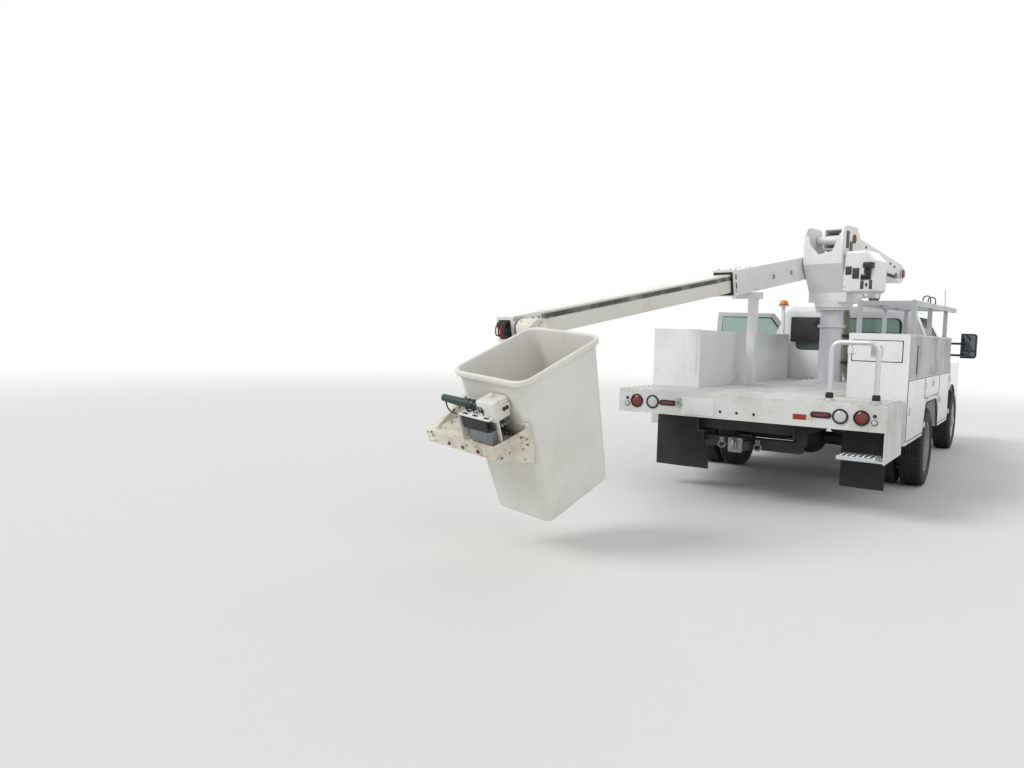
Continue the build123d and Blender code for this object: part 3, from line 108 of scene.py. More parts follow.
def node(tree, kind, settings, **links):
    """Add a node; settings go to its inputs or, failing that, to its properties."""
    made = tree.nodes.new("ShaderNode" + kind)
    for key, value in settings.items():
        if isinstance(key, int) or key in made.inputs:
            made.inputs[key].default_value = value
        else:
            setattr(made, key, value)
    for key, source in links.items():
        socket = int(key[2:]) if key.startswith("in") and key[2:].isdigit() else key.replace("_", " ")
        tree.links.new(source, made.inputs[socket])
    return made


def started(name):
    """A new material, its tree, its shader and the piece's own coordinates, in metres."""
    material = bpy.data.materials.new(name)
    material.use_nodes = True
    tree = material.node_tree
    space = node(tree, "TexCoord", {}).outputs["Object"]
    return material, tree, tree.nodes["Principled BSDF"], space


# Studio: a pale matt floor that fades to white far off, a broad soft light from behind the camera
# and to its left with two weaker ones, and an even surround that gloss sees as white.
world = bpy.data.worlds.new("surround")
bpy.context.scene.world = world
world.use_nodes = True
tree = world.node_tree
tree.nodes.clear()
path = node(tree, "LightPath", {})
seen = node(tree, "Math", {"operation": "MAXIMUM"}, in0=path.outputs["Is Camera Ray"],
            in1=path.outputs["Is Glossy Ray"])
seen = node(tree, "Math", {"operation": "MAXIMUM"}, in0=seen.outputs[0],
            in1=path.outputs["Is Transmission Ray"])
soft = node(tree, "Background", {"Color": (1, 1, 1, 1), "Strength": 0.5})
white = node(tree, "Background", {"Color": (1, 1, 1, 1), "Strength": 1.0})
both = node(tree, "MixShader", {}, in0=seen.outputs[0], in1=soft.outputs[0], in2=white.outputs[0])
node(tree, "OutputWorld", {}, Surface=both.outputs[0])


def soft_sun(name, toward, spread, power):
    """A wide, distant light that comes from the direction toward, spread over an angle in degrees."""
    data = bpy.data.lights.new(name, "SUN")
    data.angle = math.radians(spread)
    data.energy = power
    lamp = bpy.data.objects.new(name, data)
    bpy.context.scene.collection.objects.link(lamp)
    back = np.array(toward, float) / np.linalg.norm(toward)
    across = np.cross((0, 0, 1), back)
    across /= np.linalg.norm(across)
    rise = np.cross(back, across)
    lamp.matrix_world = Matrix([[across[i], rise[i], back[i], 0] for i in range(3)] + [[0, 0, 0, 1]])


soft_sun("key", (-9, 6.5, 9.5), 26, 1.6)
soft_sun("side", (-4, -10, 6.5), 60, 0.6)
soft_sun("front", (11, 2, 7), 60, 0.5)

floor_half, fade_start, fade_end = 90.0, 9.0, 24.0
floor_corners = [(x * floor_half, y * floor_half, 0) for x, y in ((-1, -1), (1, -1), (1, 1), (-1, 1))]
floor_mesh = bpy.data.meshes.new("floor")
floor_mesh.from_pydata(floor_corners, [], [(0, 1, 2, 3)])
floor = bpy.data.objects.new("floor", floor_mesh)
bpy.context.scene.collection.objects.link(floor)
pale, tree, screed, space = started("pale_screed")
screed.inputs["Base Color"].default_value = linear("#dededc")
screed.inputs["Roughness"].default_value = 0.9
reach = node(tree, "VectorMath", {"operation": "LENGTH"}, in0=space)
reach = node(tree, "MapRange", {1: fade_start, 2: fade_end, "interpolation_type": "SMOOTHSTEP"},
             in0=reach.outputs["Value"])
plain = node(tree, "Emission", {"Color": (1, 1, 1, 1), "Strength": 1.0})
faded = node(tree, "MixShader", {}, in0=reach.outputs[0], in1=screed.outputs[0], in2=plain.outputs[0])
tree.links.new(faded.outputs[0], tree.nodes["Material Output"].inputs["Surface"])
floor_mesh.materials.append(pale)

# Chassis, axles, fuel tank and exhaust: pressed and cast steel in black chassis paint, dusty and
# rust-spotted underneath. Paint is sprayed, so it is a little uneven, with dust in its low places.


def enamel(name, colour, grime, roughness, streak=0.2, dust=0.3, chip=0.0, peel_mm=4.0, metallic=0.0,
           low_dirt=0.0, coat=0.0):
    """Paint: grime is streaks 30 mm wide drawn down by 14 times, clouds of 0.6 m and specks of 15 mm,
    and below 1 m road splash of 110 mm. Chips are a thresholded noise of 48 mm in rust colour. The
    skin ripples at twice peel_mm, so that it shows, over slow waves of 0.3 m in the sheet."""
    material, tree, shader, space = started(name)
    drawn = node(tree, "Mapping", {"Scale": (34, 34, 2.4)}, Vector=space)
    run = node(tree, "TexNoise", {"Scale": 1.0, "Detail": 3.0}, Vector=drawn.outputs[0])
    run = node(tree, "MapRange", {1: 0.56, 2: 0.78, 4: streak}, in0=run.outputs[0])
    cloud = node(tree, "TexNoise", {"Scale": 1.7, "Detail": 7.0, "Roughness": 0.7}, Vector=space)
    cloud_mask = node(tree, "MapRange", {1: 0.44, 2: 0.8, 4: dust}, in0=cloud.outputs[0])
    run = node(tree, "Math", {"operation": "MULTIPLY"}, in0=run.outputs[0],
               in1=node(tree, "MapRange", {1: 0.35, 2: 0.6}, in0=cloud.outputs[0]).outputs[0])
    speck = node(tree, "TexNoise", {"Scale": 66.0, "Detail": 3.0}, Vector=space)
    speck = node(tree, "MapRange", {1: 0.58, 2: 0.76, 4: 0.2}, in0=speck.outputs[0])
    dirt = node(tree, "Math", {"operation": "ADD", "use_clamp": True}, in0=run.outputs[0],
                in1=cloud_mask.outputs[0])
    dirt = node(tree, "Math", {"operation": "ADD", "use_clamp": True}, in0=dirt.outputs[0],
                in1=speck.outputs[0])
    if low_dirt:
        height = node(tree, "SeparateXYZ", {}, Vector=space)
        splash = node(tree, "MapRange", {1: 1.0, 2: 0.45, 4: low_dirt}, in0=height.outputs["Z"])
        fleck = node(tree, "TexNoise", {"Scale": 9.0, "Detail": 8.0, "Roughness": 0.7}, Vector=space)
        fleck = node(tree, "Math", {"operation": "MULTIPLY"}, in0=splash.outputs[0], in1=fleck.outputs[0])
        dirt = node(tree, "Math", {"operation": "ADD", "use_clamp": True}, in0=dirt.outputs[0],
                    in1=fleck.outputs[0])
    mixed = node(tree, "Mix", {"data_type": "RGBA", 6: linear(colour), 7: linear(grime)},
                 in0=dirt.outputs[0])
    colour_out = mixed.outputs[2]
    if chip:
        flake = node(tree, "TexNoise", {"Scale": 21.0, "Detail": 5.0, "Roughness": 0.72}, Vector=space)
        flake = node(tree, "MapRange", {1: 0.76 - chip, 2: 0.785 - chip}, in0=flake.outputs[0])
        rusty = node(tree, "Mix", {"data_type": "RGBA", 7: linear("#5b3a26")}, in0=flake.outputs[0],
                     in6=colour_out)
        colour_out = rusty.outputs[2]
    tree.links.new(colour_out, shader.inputs["Base Color"])
    rough = node(tree, "MapRange", {3: roughness, 4: min(1.0, roughness + 0.35)}, in0=dirt.outputs[0])
    tree.links.new(rough.outputs[0], shader.inputs["Roughness"])
    shader.inputs["Metallic"].default_value = metallic
    shader.inputs["Coat Weight"].default_value = coat
    peel = node(tree, "TexNoise", {"Scale": 500 / peel_mm, "Detail": 2.0}, Vector=space)
    wave = node(tree, "TexNoise", {"Scale": 3.0, "Detail": 2.0}, Vector=space)
    lift = node(tree, "Math", {"operation": "MULTIPLY_ADD", 1: 14.0}, in0=wave.outputs[0],
                in2=peel.outputs[0])
    bump = node(tree, "Bump", {"Strength": 0.16, "Distance": 0.0009}, Height=lift.outputs[0])
    tree.links.new(bump.outputs[0], shader.inputs["Normal"])
    return material


def dress(material, *names):
    """Give CAD nodes a finish, on their objects' own slots."""
    for name in names:
        slots = nodes[name].data.materials
        if not len(slots):
            slots.append(material)
        for i in range(len(slots)):
            slots[i] = material


chassis_black = enamel("black_paint_on_chassis", "#1c1c1d", "#5b5249", 0.55, 0.3, 0.6, 0.05)
dress(chassis_black, "chassis_frame", "front_axle", "rear_axle", "knuckle_left", "knuckle_right",
      "fuel_tank")
# Cast iron is dark and oily with a dull gleam; the aluminised pipe is browned by heat and road.
engine_iron = enamel("oily_cast_iron", "#45464a", "#27231f", 0.5, 0.5, 0.6, 0.03, 9.0, metallic=0.6)
dress(engine_iron, "engine_block")
pipe_steel = enamel("aluminised_exhaust_steel", "#7d7a75", "#5a4331", 0.42, 0.3, 0.7, 0.04, metallic=0.8)
dress(pipe_steel, "exhaust")


def surface(name, body, finish, sheets, sharp=34.0, bevel_mm=0.0, stands_for=()):
    """One piece from sheets: each is (points[rows, columns, 3], closed along rows, along columns).
    Neighbouring points make quads, doubled points are merged, and faces are turned outwards."""
    points, quads, start = [], [], 0
    for grid, rows_close, columns_close in sheets:
        index = np.arange(grid.shape[0] * grid.shape[1]).reshape(grid.shape[:2]) + start
        index = np.vstack([index, index[:1]]) if rows_close else index
        index = np.hstack([index, index[:, :1]]) if columns_close else index
        corners = (index[:-1, :-1], index[1:, :-1], index[1:, 1:], index[:-1, 1:])
        quads.append(np.stack(corners, -1).reshape(-1, 4))
        points.append(grid.reshape(-1, 3))
        start += grid.shape[0] * grid.shape[1]
    mesh = bpy.data.meshes.new(name)
    mesh.from_pydata(np.concatenate(points).tolist(), [], np.concatenate(quads).tolist())
    return finished(name, mesh, body, finish, sharp, bevel_mm, stands_for)


def finished(name, mesh, body, finish, sharp, bevel_mm, stands_for, flat_deg=0.0):
    """Merge doubles, turn faces outwards, keep edges sharper than sharp degrees, and set it on a body."""
    work = bmesh.new()
    work.from_mesh(mesh)
    bmesh.ops.remove_doubles(work, verts=work.verts, dist=0.00001)
    bmesh.ops.dissolve_degenerate(work, dist=0.000001, edges=work.edges)
    if flat_deg:
        bmesh.ops.dissolve_limit(work, angle_limit=math.radians(flat_deg), verts=work.verts,
                                 edges=work.edges)
    else:
        bmesh.ops.recalc_face_normals(work, faces=work.faces)
    work.to_mesh(mesh)
    work.free()
    mesh.materials.append(finish)
    mesh.polygons.foreach_set("use_smooth", np.ones(len(mesh.polygons), bool))
    mesh.set_sharp_from_angle(angle=math.radians(sharp))
    piece = bpy.data.objects.new(name, mesh)
    bpy.context.scene.collection.objects.link(piece)
    if bevel_mm:
        rounding = piece.modifiers.new("rounded_edges", "BEVEL")
        rounding.width = bevel_mm / 1000
        rounding.segments = 2
        rounding.limit_method = "ANGLE"
        rounding.angle_limit = math.radians(sharp)
        rounding.harden_normals = True
    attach(piece, body)
    if stands_for:
        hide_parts(*stands_for)
    return piece


def softened(source, finish, edge_mm, sharp=30.0):
    """A CAD node's faces, merged from its triangles, with the rounded edges that pressing leaves."""
    old = nodes[source].data
    points = np.empty(len(old.vertices) * 3)
    old.vertices.foreach_get("co", points)
    corners = np.empty(len(old.loops), int)
    old.loops.foreach_get("vertex_index", corners)
    mesh = bpy.data.meshes.new(source + "_panel")
    mesh.from_pydata(points.reshape(-1, 3).tolist(), [], corners.reshape(-1, 3).tolist())
    body = nodes[source]["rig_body"]
    return finished(source + "_panel", mesh, body, finish, sharp, edge_mm, (source,), 0.5)


# Tyres: carbon-black rubber, moulded with four zigzag grooves and open shoulder blocks, with road
# dust on their walls. Twin rear tyres sit side by side on one hub.
tyre_out, tyre_half, bead_r = 405.0, 112.5, 250.3
tread_half, tread_low_r, tread_pitches = 86.0, 386.0, 48
groove_places, groove_half, groove_deep = (-48, -16, 16, 48), 4.5, 8.0
block_start, crown_drop = 56.0, 6.0
axle_z, rear_x, front_x = 405.0, 2400.0, 5980.0
twin_y, front_y = (813.0, 1067.0), 950.0
sides = ((1, "left"), (-1, "right"))
tyre_rubber = enamel("dusty_tyre_rubber", "#19191a", "#57524c", 0.78, 0.05, 0.55, peel_mm=2.0)


def tyre(x, y):
    """A tyre's section, radius over a place a across it, carried round its axle. The crown drops by
    (a / tread_half) squared * crown_drop. A groove cuts the radius where |a - place - zigzag| is under
    groove_half, and the shoulder is open for the first quarter of each pitch."""
    wall_r = np.array([bead_r, 258, 275, 300, 325, 350, 370, 385, 394, 399])
    wall_a = np.array([90.0, 98, 107, tyre_half, tyre_half, 109, 104, 99, 94, tread_half])
    tread_a = np.linspace(-tread_half, tread_half, 45)[1:-1]
    a = np.concatenate([-wall_a, tread_a, wall_a[::-1]])
    crown_r = tyre_out - crown_drop * (tread_a / tread_half) ** 2
    r = np.concatenate([wall_r, crown_r, wall_r[::-1]])
    turn = np.linspace(0, 2 * math.pi, tread_pitches * 6, endpoint=False)
    phase = (turn * tread_pitches / (2 * math.pi)) % 1.0
    zigzag = 5.0 * np.abs(2 * phase - 1) - 2.5
    a2, r2 = np.broadcast_arrays(a[:, None], r[:, None])
    groove = np.zeros((len(a), len(turn)))
    for place in groove_places:
        offset = a2 - place - zigzag * math.copysign(1, place)
        groove = np.maximum(groove, np.abs(offset) < groove_half)
    groove = np.maximum(groove, (np.abs(a2) > block_start) & (phase < 0.25))
    radius = r2 - groove_deep * groove * (r2 > tread_low_r)
    centre = put(truck, x, y, axle_z)
    grid = centre + (a2[..., None] * leftward + radius[..., None]
                     * (np.cos(turn)[:, None] * ahead + np.sin(turn)[:, None] * skyward)) / 1000
    return grid, True, True


for side, name in sides:
    surface("tread_tyres_rear_" + name, "wheels_rear_" + name, tyre_rubber,
            [tyre(rear_x, side * y) for y in twin_y], 40.0, stands_for=("rear_tyres_" + name,))
    surface("tread_tyre_front_" + name, "wheel_front_" + name, tyre_rubber,
            [tyre(front_x, side * front_y)], 40.0, stands_for=("front_tyre_" + name,))

# Rims: pressed steel discs in grey wheel paint, each held by eight zinc nuts round a raised hub. The
# paint is dulled by brake dust, and the zinc has a grey, slightly stained shine.
rim_grey = enamel("grey_wheel_paint", "#b4b6b7", "#4a443d", 0.4, 0.2, 0.55, 0.02)
zinc = enamel("zinc_plated_steel", "#a4a5a2", "#5d4a38", 0.32, 0.1, 0.5, 0.03, metallic=0.85)
dress(rim_grey, "front_rim_left", "front_rim_right", "rear_rims_left", "rear_rims_right")


def turned(profile, centre, axis, turns=32, phase=0.0):
    """A profile of (distance along, radius) in mm, carried round an axis."""
    axis = np.asarray(axis, float) / np.linalg.norm(axis)
    side = np.cross(axis, skyward if abs(axis[2]) < 0.9 else ahead)
    side /= np.linalg.norm(side)
    angle = np.linspace(0, 2 * math.pi, turns, endpoint=False) + phase
    around = np.cos(angle)[:, None] * side + np.sin(angle)[:, None] * np.cross(axis, side)
    profile = np.asarray(profile, float)[:, :, None, None] / 1000
    return centre + profile[:, 0] * axis + profile[:, 1] * around, False, True


def bolt(place, axis, half=9.0, tall=8.0, phase=0.3):
    """A hexagon head with a chamfered top, on a washer."""
    washer = turned([(0, 0), (0, half * 1.5), (2, half * 1.5), (2, 0)], place, axis, 16)
    head = [(1.5, 0), (1.5, half * 1.15), (tall * 0.8, half * 1.15), (tall, half * 0.9), (tall, 0)]
    return [washer, turned(head, place, axis, 6, phase)]


def bolt_circle(axes, count, radius, height, axis, *sizes, start=0.0):
    """Bolts spaced evenly round the origin of a frame, at one height on its third axis."""
    angles = np.arange(count) * 2 * math.pi / count + start
    heads = []
    for angle in angles:
        heads += bolt(put(axes, radius * math.cos(angle), radius * math.sin(angle), height), axis, *sizes)
    return heads


nut_half, nut_tall = 10.0, 22.0
# Where, its bodies, the axle's x, the nuts' seat and the radius of their circle.
nut_circles = (("rear", "wheels_rear_", rear_x, twin_y[0] + 146, 88),
               ("front", "wheel_front_", front_x, front_y + 73, 86))
for side, name in sides:
    for where, body, x, seat_y, ring_r in nut_circles:
        hub = (put(truck, x, side * seat_y, axle_z), ahead, skyward, leftward)
        nuts = bolt_circle(hub, 8, ring_r, 0.0, side * leftward, nut_half, nut_tall)
        surface("wheel_nuts_%s_%s" % (where, name), body + name, zinc, nuts)

# Utility body: a steel deck on a channel tail, in white enamel that use has worn through to grey,
# with raised tread plates and bolts along its edge.
deck_paint = enamel("worn_enamel_on_deck_plate", "#cfd0cd", "#6f675c", 0.5, 0.2, 0.6, 0.07)
softened("body_floor", deck_paint, 3.0)
# The cabinets' enamel is half glossy, streaked by rain and splashed near the road.
body_white = enamel("white_enamel_on_steel", "#e3e5e6", "#8c8579", 0.32, 0.25, 0.2, 0.03, low_dirt=0.7)


def rounded(width, height, radius, steps=5):
    """A rectangle's outline with quarter-circle corners, anticlockwise about its middle."""
    bend = np.linspace(0, math.pi / 2, steps)
    corners = []
    for k, (sx, sy) in enumerate(((1, 1), (-1, 1), (-1, -1), (1, -1))):
        middle = np.array([sx * (width / 2 - radius), sy * (height / 2 - radius)])
        angle = bend + k * math.pi / 2
        corners.append(middle + radius * np.stack([np.cos(angle), np.sin(angle)], -1))
    return np.concatenate(corners)


def slab(outline, axes, thick, edge=1.5):
    """A plate: its outline on the first two axes, thick along the third. Each edge is a quarter
    circle: drawn in by edge * (1 - cos) while it rises by edge * (1 - sin)."""
    outline = np.asarray(outline, float)
    centre = outline.mean(0)
    away = outline - centre
    reach = np.linalg.norm(away, axis=1, keepdims=True)
    bend = np.linspace(0, math.pi / 2, 4)
    inset = np.concatenate([edge * (1 - np.sin(bend)), edge * (1 - np.cos(bend))])
    height = np.concatenate([edge * (1 - np.cos(bend)), thick - edge * (1 - np.sin(bend))])
    rings = centre + away * (1 - inset[:, None, None] / reach)
    pole = np.broadcast_to(centre, (1,) + outline.shape)
    rings = np.concatenate([pole, rings, pole])
    height = np.concatenate([[0], height, [thick]])
    return put(axes, rings[..., 0], rings[..., 1], height[:, None]), False, True


def axes_at(origin, across, rise):
    """A frame of a place and two directions, with its third at right angles to both."""
    across = np.asarray(across, float) / np.linalg.norm(across)
    out = np.cross(across, rise)
    out /= np.linalg.norm(out)
    return (np.asarray(origin), across, np.cross(out, across), out)


def moved(axes, a, b, c):
    """The same directions at another place, a, b, c in mm along them."""
    return (put(axes, a, b, c), *axes[1:])


def block(low, high, axes=truck, edge=4.0, corner=6.0):
    """A box between two corners of a frame, with rounded edges and corners."""
    low, high = np.minimum(low, high), np.maximum(low, high)
    middle = (low + high) / 2
    base = moved(axes, middle[0], middle[1], low[2])
    size = high - low
    corner = min(corner, size[0] / 2.01, size[1] / 2.01)
    return slab(rounded(size[0], size[1], corner), base, size[2], min(edge, size[2] / 2.01, corner))


def ring(centre, axis, radius, thick, turns=32, section=10):
    """A torus: a round section of thick mm carried round a circle."""
    angle = np.linspace(0, 2 * math.pi, section, endpoint=False)
    outline = np.stack([thick * np.sin(angle), radius + thick * np.cos(angle)], -1)
    return turned(outline, centre, axis, turns)[0], True, True


deck_top, deck_edge_y, deck_end_x = 972.0, 1148.0, 12.0
tail_bolts = []
for x in np.arange(60, 760, 110):
    for y in (-deck_edge_y, deck_edge_y):
        tail_bolts += bolt(put(truck, x, y, deck_top), skyward, 6.0, 6.0)
for y in np.arange(-1080, 1100, 180):
    tail_bolts += bolt(put(truck, deck_end_x, y, deck_top), skyward, 5.0, 5.0)
surface("deck_edge_bolts", "truck", zinc, tail_bolts)

# Raised lozenges of the tread plates: rolled steel, 30 mm long in crossed pairs, drawn at twice
# their real pitch so that they show.
lozenge_pitch, lozenge_half, lozenge_half_w = 48, 15, 4.5
tread_low, tread_high = 975.05, 976.6
# Each plate's first and last x, and first and last y.
tread_plates = ((50, 745, -560, 1120), (845, 1670, -610, 620))
spots = np.concatenate([
    np.stack(np.meshgrid(np.arange(x0, x1, lozenge_pitch), np.arange(y0, y1, lozenge_pitch),
                         indexing="ij"), -1).reshape(-1, 2) for x0, x1, y0, y1 in tread_plates])
crossed = np.where(np.round(spots / lozenge_pitch).sum(1) % 2 > 0, 1.0, -1.0) * math.pi / 4
cosine, sine = np.cos(crossed)[:, None], np.sin(crossed)[:, None]
turn = np.linspace(0, 2 * math.pi, 8, endpoint=False)
lozenges = []
for scale, height in ((1.0, tread_low), (0.55, tread_high), (0.0, tread_high)):
    along, wide = lozenge_half * scale * np.cos(turn), lozenge_half_w * scale * np.sin(turn)
    x = spots[:, :1] + along * cosine - wide * sine
    y = spots[:, 1:] + along * sine + wide * cosine
    lozenges.append(put(truck, x, y, height))
lozenges = np.stack(lozenges)
surface("tread_plate_lozenges", "truck", deck_paint,
        [(lozenges[:, i], False, True) for i in range(lozenges.shape[1])], 60.0)

# Cabinets: folded steel boxes on both sides, their flush doors hung on butt hinges, rubber sealed
# and shut by ring handles that fold into round cups.
for name in ("left", "right"):
    softened("cabinet_" + name, body_white, 3.0)
    for kind in ("rear_door_", "over_door_", "front_door_"):
        softened(kind + name, body_white, 2.0)
softened("tail_door", body_white, 2.0)
# Seal rubber is black and matt; the stainless handles are polished, with fine grey stains.
seal_black = enamel("black_seal_rubber", "#161617", "#45413c", 0.7, 0.1, 0.3, peel_mm=2.0)
handle_steel = enamel("polished_stainless_handle", "#b9bbbc", "#6c655c", 0.22, 0.1, 0.3, metallic=1.0)
body_side_y, handle_y = 1184.4, 1191.0
seal_wide, seal_thick = 5.6, 4.0
# Each door's rear and front end, bottom and top, and its handle's place along it and up it.
doors = {"rear_door_": (814, 1840, 606, 1146, 904, 876),
         "over_door_": (1880, 2920, 935, 1146, 2400, 1076),
         "front_door_": (2960, 3850, 606, 1146, 3050, 876)}
cup_profile = [(0, 0), (1, 29), (0, 30)]
knob_profile = [(0, 0), (0, 12), (9, 11), (10, 0)]
pin_profile = [(0, 0), (0, 6), (5, 5), (5, 0)]


def rim_band(outline, axes, width, thick):
    """A flat band that follows an outline: rows at its outer and inner edge, bottom and top."""
    outline = np.asarray(outline, float)
    away = outline - outline.mean(0)
    inner = outline - away / np.linalg.norm(away, axis=1, keepdims=True) * width
    loops = [(outline, 0), (outline, thick), (inner, thick), (inner, 0)]
    return np.stack([put(axes, line[:, 0], line[:, 1], z) for line, z in loops]), True, True


for side, name in sides:
    outward = side * leftward
    across = -side * ahead
    seals = []
    for kind, (x0, x1, z0, z1, grip_x, grip_z) in doors.items():
        middle = axes_at(put(truck, (x0 + x1) / 2, side * body_side_y, (z0 + z1) / 2), across, skyward)
        seals.append(rim_band(rounded(x1 - x0, z1 - z0, 14), middle, seal_wide, seal_thick))
        grip = axes_at(put(truck, grip_x, side * handle_y, grip_z), across, skyward)
        latch = [
            turned(cup_profile, grip[0], outward, 28),
            ring(put(grip, 0, 0, 6.5), outward, 33, 4.0),
            turned(knob_profile, put(grip, 0, 21, 0), outward, 20),
            turned(pin_profile, put(grip, 0, -12, 0), outward, 14),
        ]
        surface("latch_" + kind + name, kind + name + "_body", handle_steel, latch)
    surface("door_seals_" + name, "truck", seal_black, seals)

tail_door_wide, tail_door_tall = 415, 190
tail_face = axes_at(put(truck, 784.0, -927.5, 1395.0), -leftward, skyward)
surface("tail_door_seal", "truck", seal_black, [
    rim_band(rounded(tail_door_wide, tail_door_tall, 10), tail_face, 5.0, 3.0)])
paddle = axes_at(put(truck, 764.0, -925.0, 1400.0), -leftward, skyward)
surface("tail_latch_paddle", "tail_door_body", handle_steel, [
    slab(rounded(84, 92, 8), paddle, 3.0, 1.0),
    slab(rounded(58, 40, 6), moved(paddle, 0, 6, 3), 9.0, 3.0),
])

# Right cabinet's fixed panel over its doors: bare aluminium sheet, blotched by fumes and rain,
# riveted on, with a black web strap hanging down its middle.
blotched = enamel("fume_stained_aluminium", "#a7a9a8", "#5e5a57", 0.4, 0.85, 0.75, metallic=0.55)
sheet_long, sheet_tall, sheet_thick, rivet_pitch = 3060, 388, 2.6, 185
rivet_profile = [(0, 5), (1.6, 4), (2.4, 0)]
sheet_axes = axes_at(put(truck, 2342.0, -1185.0, 1348.0), ahead, skyward)
sheet_metal = [slab(rounded(sheet_long, sheet_tall, 5), sheet_axes, sheet_thick, 1.0)]
for x in np.arange(-8, 9) * rivet_pitch:
    for z in (10 - sheet_tall / 2, sheet_tall / 2 - 10):
        sheet_metal.append(turned(rivet_profile, put(sheet_axes, x, z, sheet_thick), -leftward, 10))
surface("stained_side_panel", "truck", blotched, sheet_metal)
# Woven polyester is black and quite matt.
webbing = enamel("black_polyester_webbing", "#1b1b1d", "#55504a", 0.8, 0.1, 0.5, peel_mm=2.2)
strap = axes_at(put(truck, 1230.0, -1188.0, 1320.0), ahead, skyward)
surface("side_strap", "truck", webbing, [slab(rounded(26, 270, 4), strap, 3.5, 1.0)])

# Drip edges: folded strips of bare aluminium along the cabinets' tops, brushed and weathered to a
# dull grey shine.
bare_alu = enamel("bare_aluminium_trim", "#b9bcbd", "#7a7773", 0.35, 0.4, 0.45, metallic=0.8)
box_rear, box_front, box_top = 785, 3879, 1546
edges = []
for side in (1, -1):
    # Each strip's low and high corner: along the top, down the side, and across the rear end.
    for low, high in (((box_rear, 1150, box_top), (box_front, 1189, box_top + 4)),
                      ((box_rear, 1185, box_top - 14), (box_front, 1189, box_top + 3)),
                      ((box_rear + 1, 694, box_top), (box_rear + 27, 1188, box_top + 4))):
        mirror = np.array([1, side, 1])
        edges.append(block(low * mirror, high * mirror, edge=1.5, corner=2))
surface("cabinet_drip_edges", "truck", bare_alu, edges)

# Tail lamps in the rear channel: domed acrylic lenses in thick black rubber rings, red outboard and
# clear inboard, a slot lamp beside each pair, and a plug and a small marker near each end.


def lens_plastic(name, colour, glow=0.0):
    """Moulded acrylic: the small prisms inside it, 8 mm across, show as facets."""
    material, tree, shader, space = started(name)
    prisms = node(tree, "TexVoronoi", {"Scale": 125.0}, Vector=space)
    tone = node(tree, "MapRange", {1: 0.0, 2: 0.8, 3: 0.7, 4: 1.2}, in0=prisms.outputs["Distance"])
    mixed = node(tree, "Mix", {"data_type": "RGBA", "blend_type": "MULTIPLY", 0: 1.0, 6: linear(colour)},
                 in7=tone.outputs[0])
    tree.links.new(mixed.outputs[2], shader.inputs["Base Color"])
    shader.inputs["Roughness"].default_value = 0.14
    shader.inputs["Coat Weight"].default_value = 0.5
    shader.inputs["Transmission Weight"].default_value = glow
    bump = node(tree, "Bump", {"Strength": 0.3, "Distance": 0.001}, Height=prisms.outputs["Distance"])
    tree.links.new(bump.outputs[0], shader.inputs["Normal"])
    return material


# Acrylic is glossy and deep in colour; the clear lenses show their bowls as pale grey.
red_lens = lens_plastic("red_acrylic_lens", "#6f1518")
clear_lens = lens_plastic("clear_acrylic_lens", "#b9bab6")
amber_lens = lens_plastic("amber_polycarbonate", "#ee7a1e")
lamp_z, red_y, clear_y, slot_y, marker_y = 865.0, 980.0, 820.0, 670.0, 1077.0
dome = [(0, 0), (0, 50), (6, 49), (11, 40), (14, 22), (15, 0)]
grommet = [(0, 62), (9, 62), (14, 58), (14, 52), (9, 48), (0, 48)]
plug = [(0, 0), (0, 15), (4, 14), (4, 0)]
marker_rim = [(0, 0), (0, 24), (4, 24), (6, 20), (5, 0)]
marker_lens = [(5, 0), (6, 18), (9, 12), (10, 0)]
slot_deep = 9
reds, clears, rubbers = [], [], []
for side in (1, -1):
    for y, lenses in ((red_y, reds), (clear_y, clears)):
        place = put(truck, 0.0, side * y, lamp_z)
        lenses.append(turned(dome, place, rearward, 40))
        rubbers.append(turned(grommet, place, rearward, 40))
    slot = axes_at(put(truck, 0.0, side * slot_y, lamp_z), -leftward, skyward)
    rubbers.append(slab(rounded(165, 50, 24.9, 9), slot, slot_deep, 3))
    reds.append(slab(rounded(120, 20, 9.9, 6), moved(slot, 0, 0, slot_deep), 4, 1.8))
    rubbers.append(turned(plug, put(truck, 0.0, side * marker_y, lamp_z + 21), rearward, 20))
    marker = put(truck, 0.0, side * marker_y, lamp_z - 32)
    rubbers.append(turned(marker_rim, marker, rearward, 24))
    clears.append(turned(marker_lens, marker, rearward, 24))
surface("red_tail_lenses", "truck", red_lens, reds, stands_for=("lamps",))
surface("clear_tail_lenses", "truck", clear_lens, clears)
surface("lamp_grommets", "truck", seal_black, rubbers)

# Rear channel's fittings: a blank alloy number plate on two screws, three holes shut by black
# plugs, a strip of red and white reflective tape and a zinc shackle hung on its eye.
# A painted alloy blank is pale and even, with a soft gloss.
plate_blank = enamel("blank_painted_plate", "#d9dcdc", "#8f8b84", 0.3, 0.1, 0.3)
plate_axes = axes_at(put(truck, -0.5, 387.0, 853.0), -leftward, skyward)
number_plate = [slab(rounded(305, 152, 12), plate_axes, 2.5, 1.0)]
for x in (-88, 88):
    number_plate += bolt(put(plate_axes, x, 62, 2.4), rearward, 4.0, 4.0)
surface("blank_number_plate", "truck", plate_blank, number_plate)
hole_plug = [(0, 0), (0, 13), (2.5, 12), (2.5, 0)]
surface("channel_plugs", "truck", seal_black, [
    turned(hole_plug, put(truck, 0.0, y, 822.0), rearward, 20) for y in (176.0, 29.0, -121.0)])
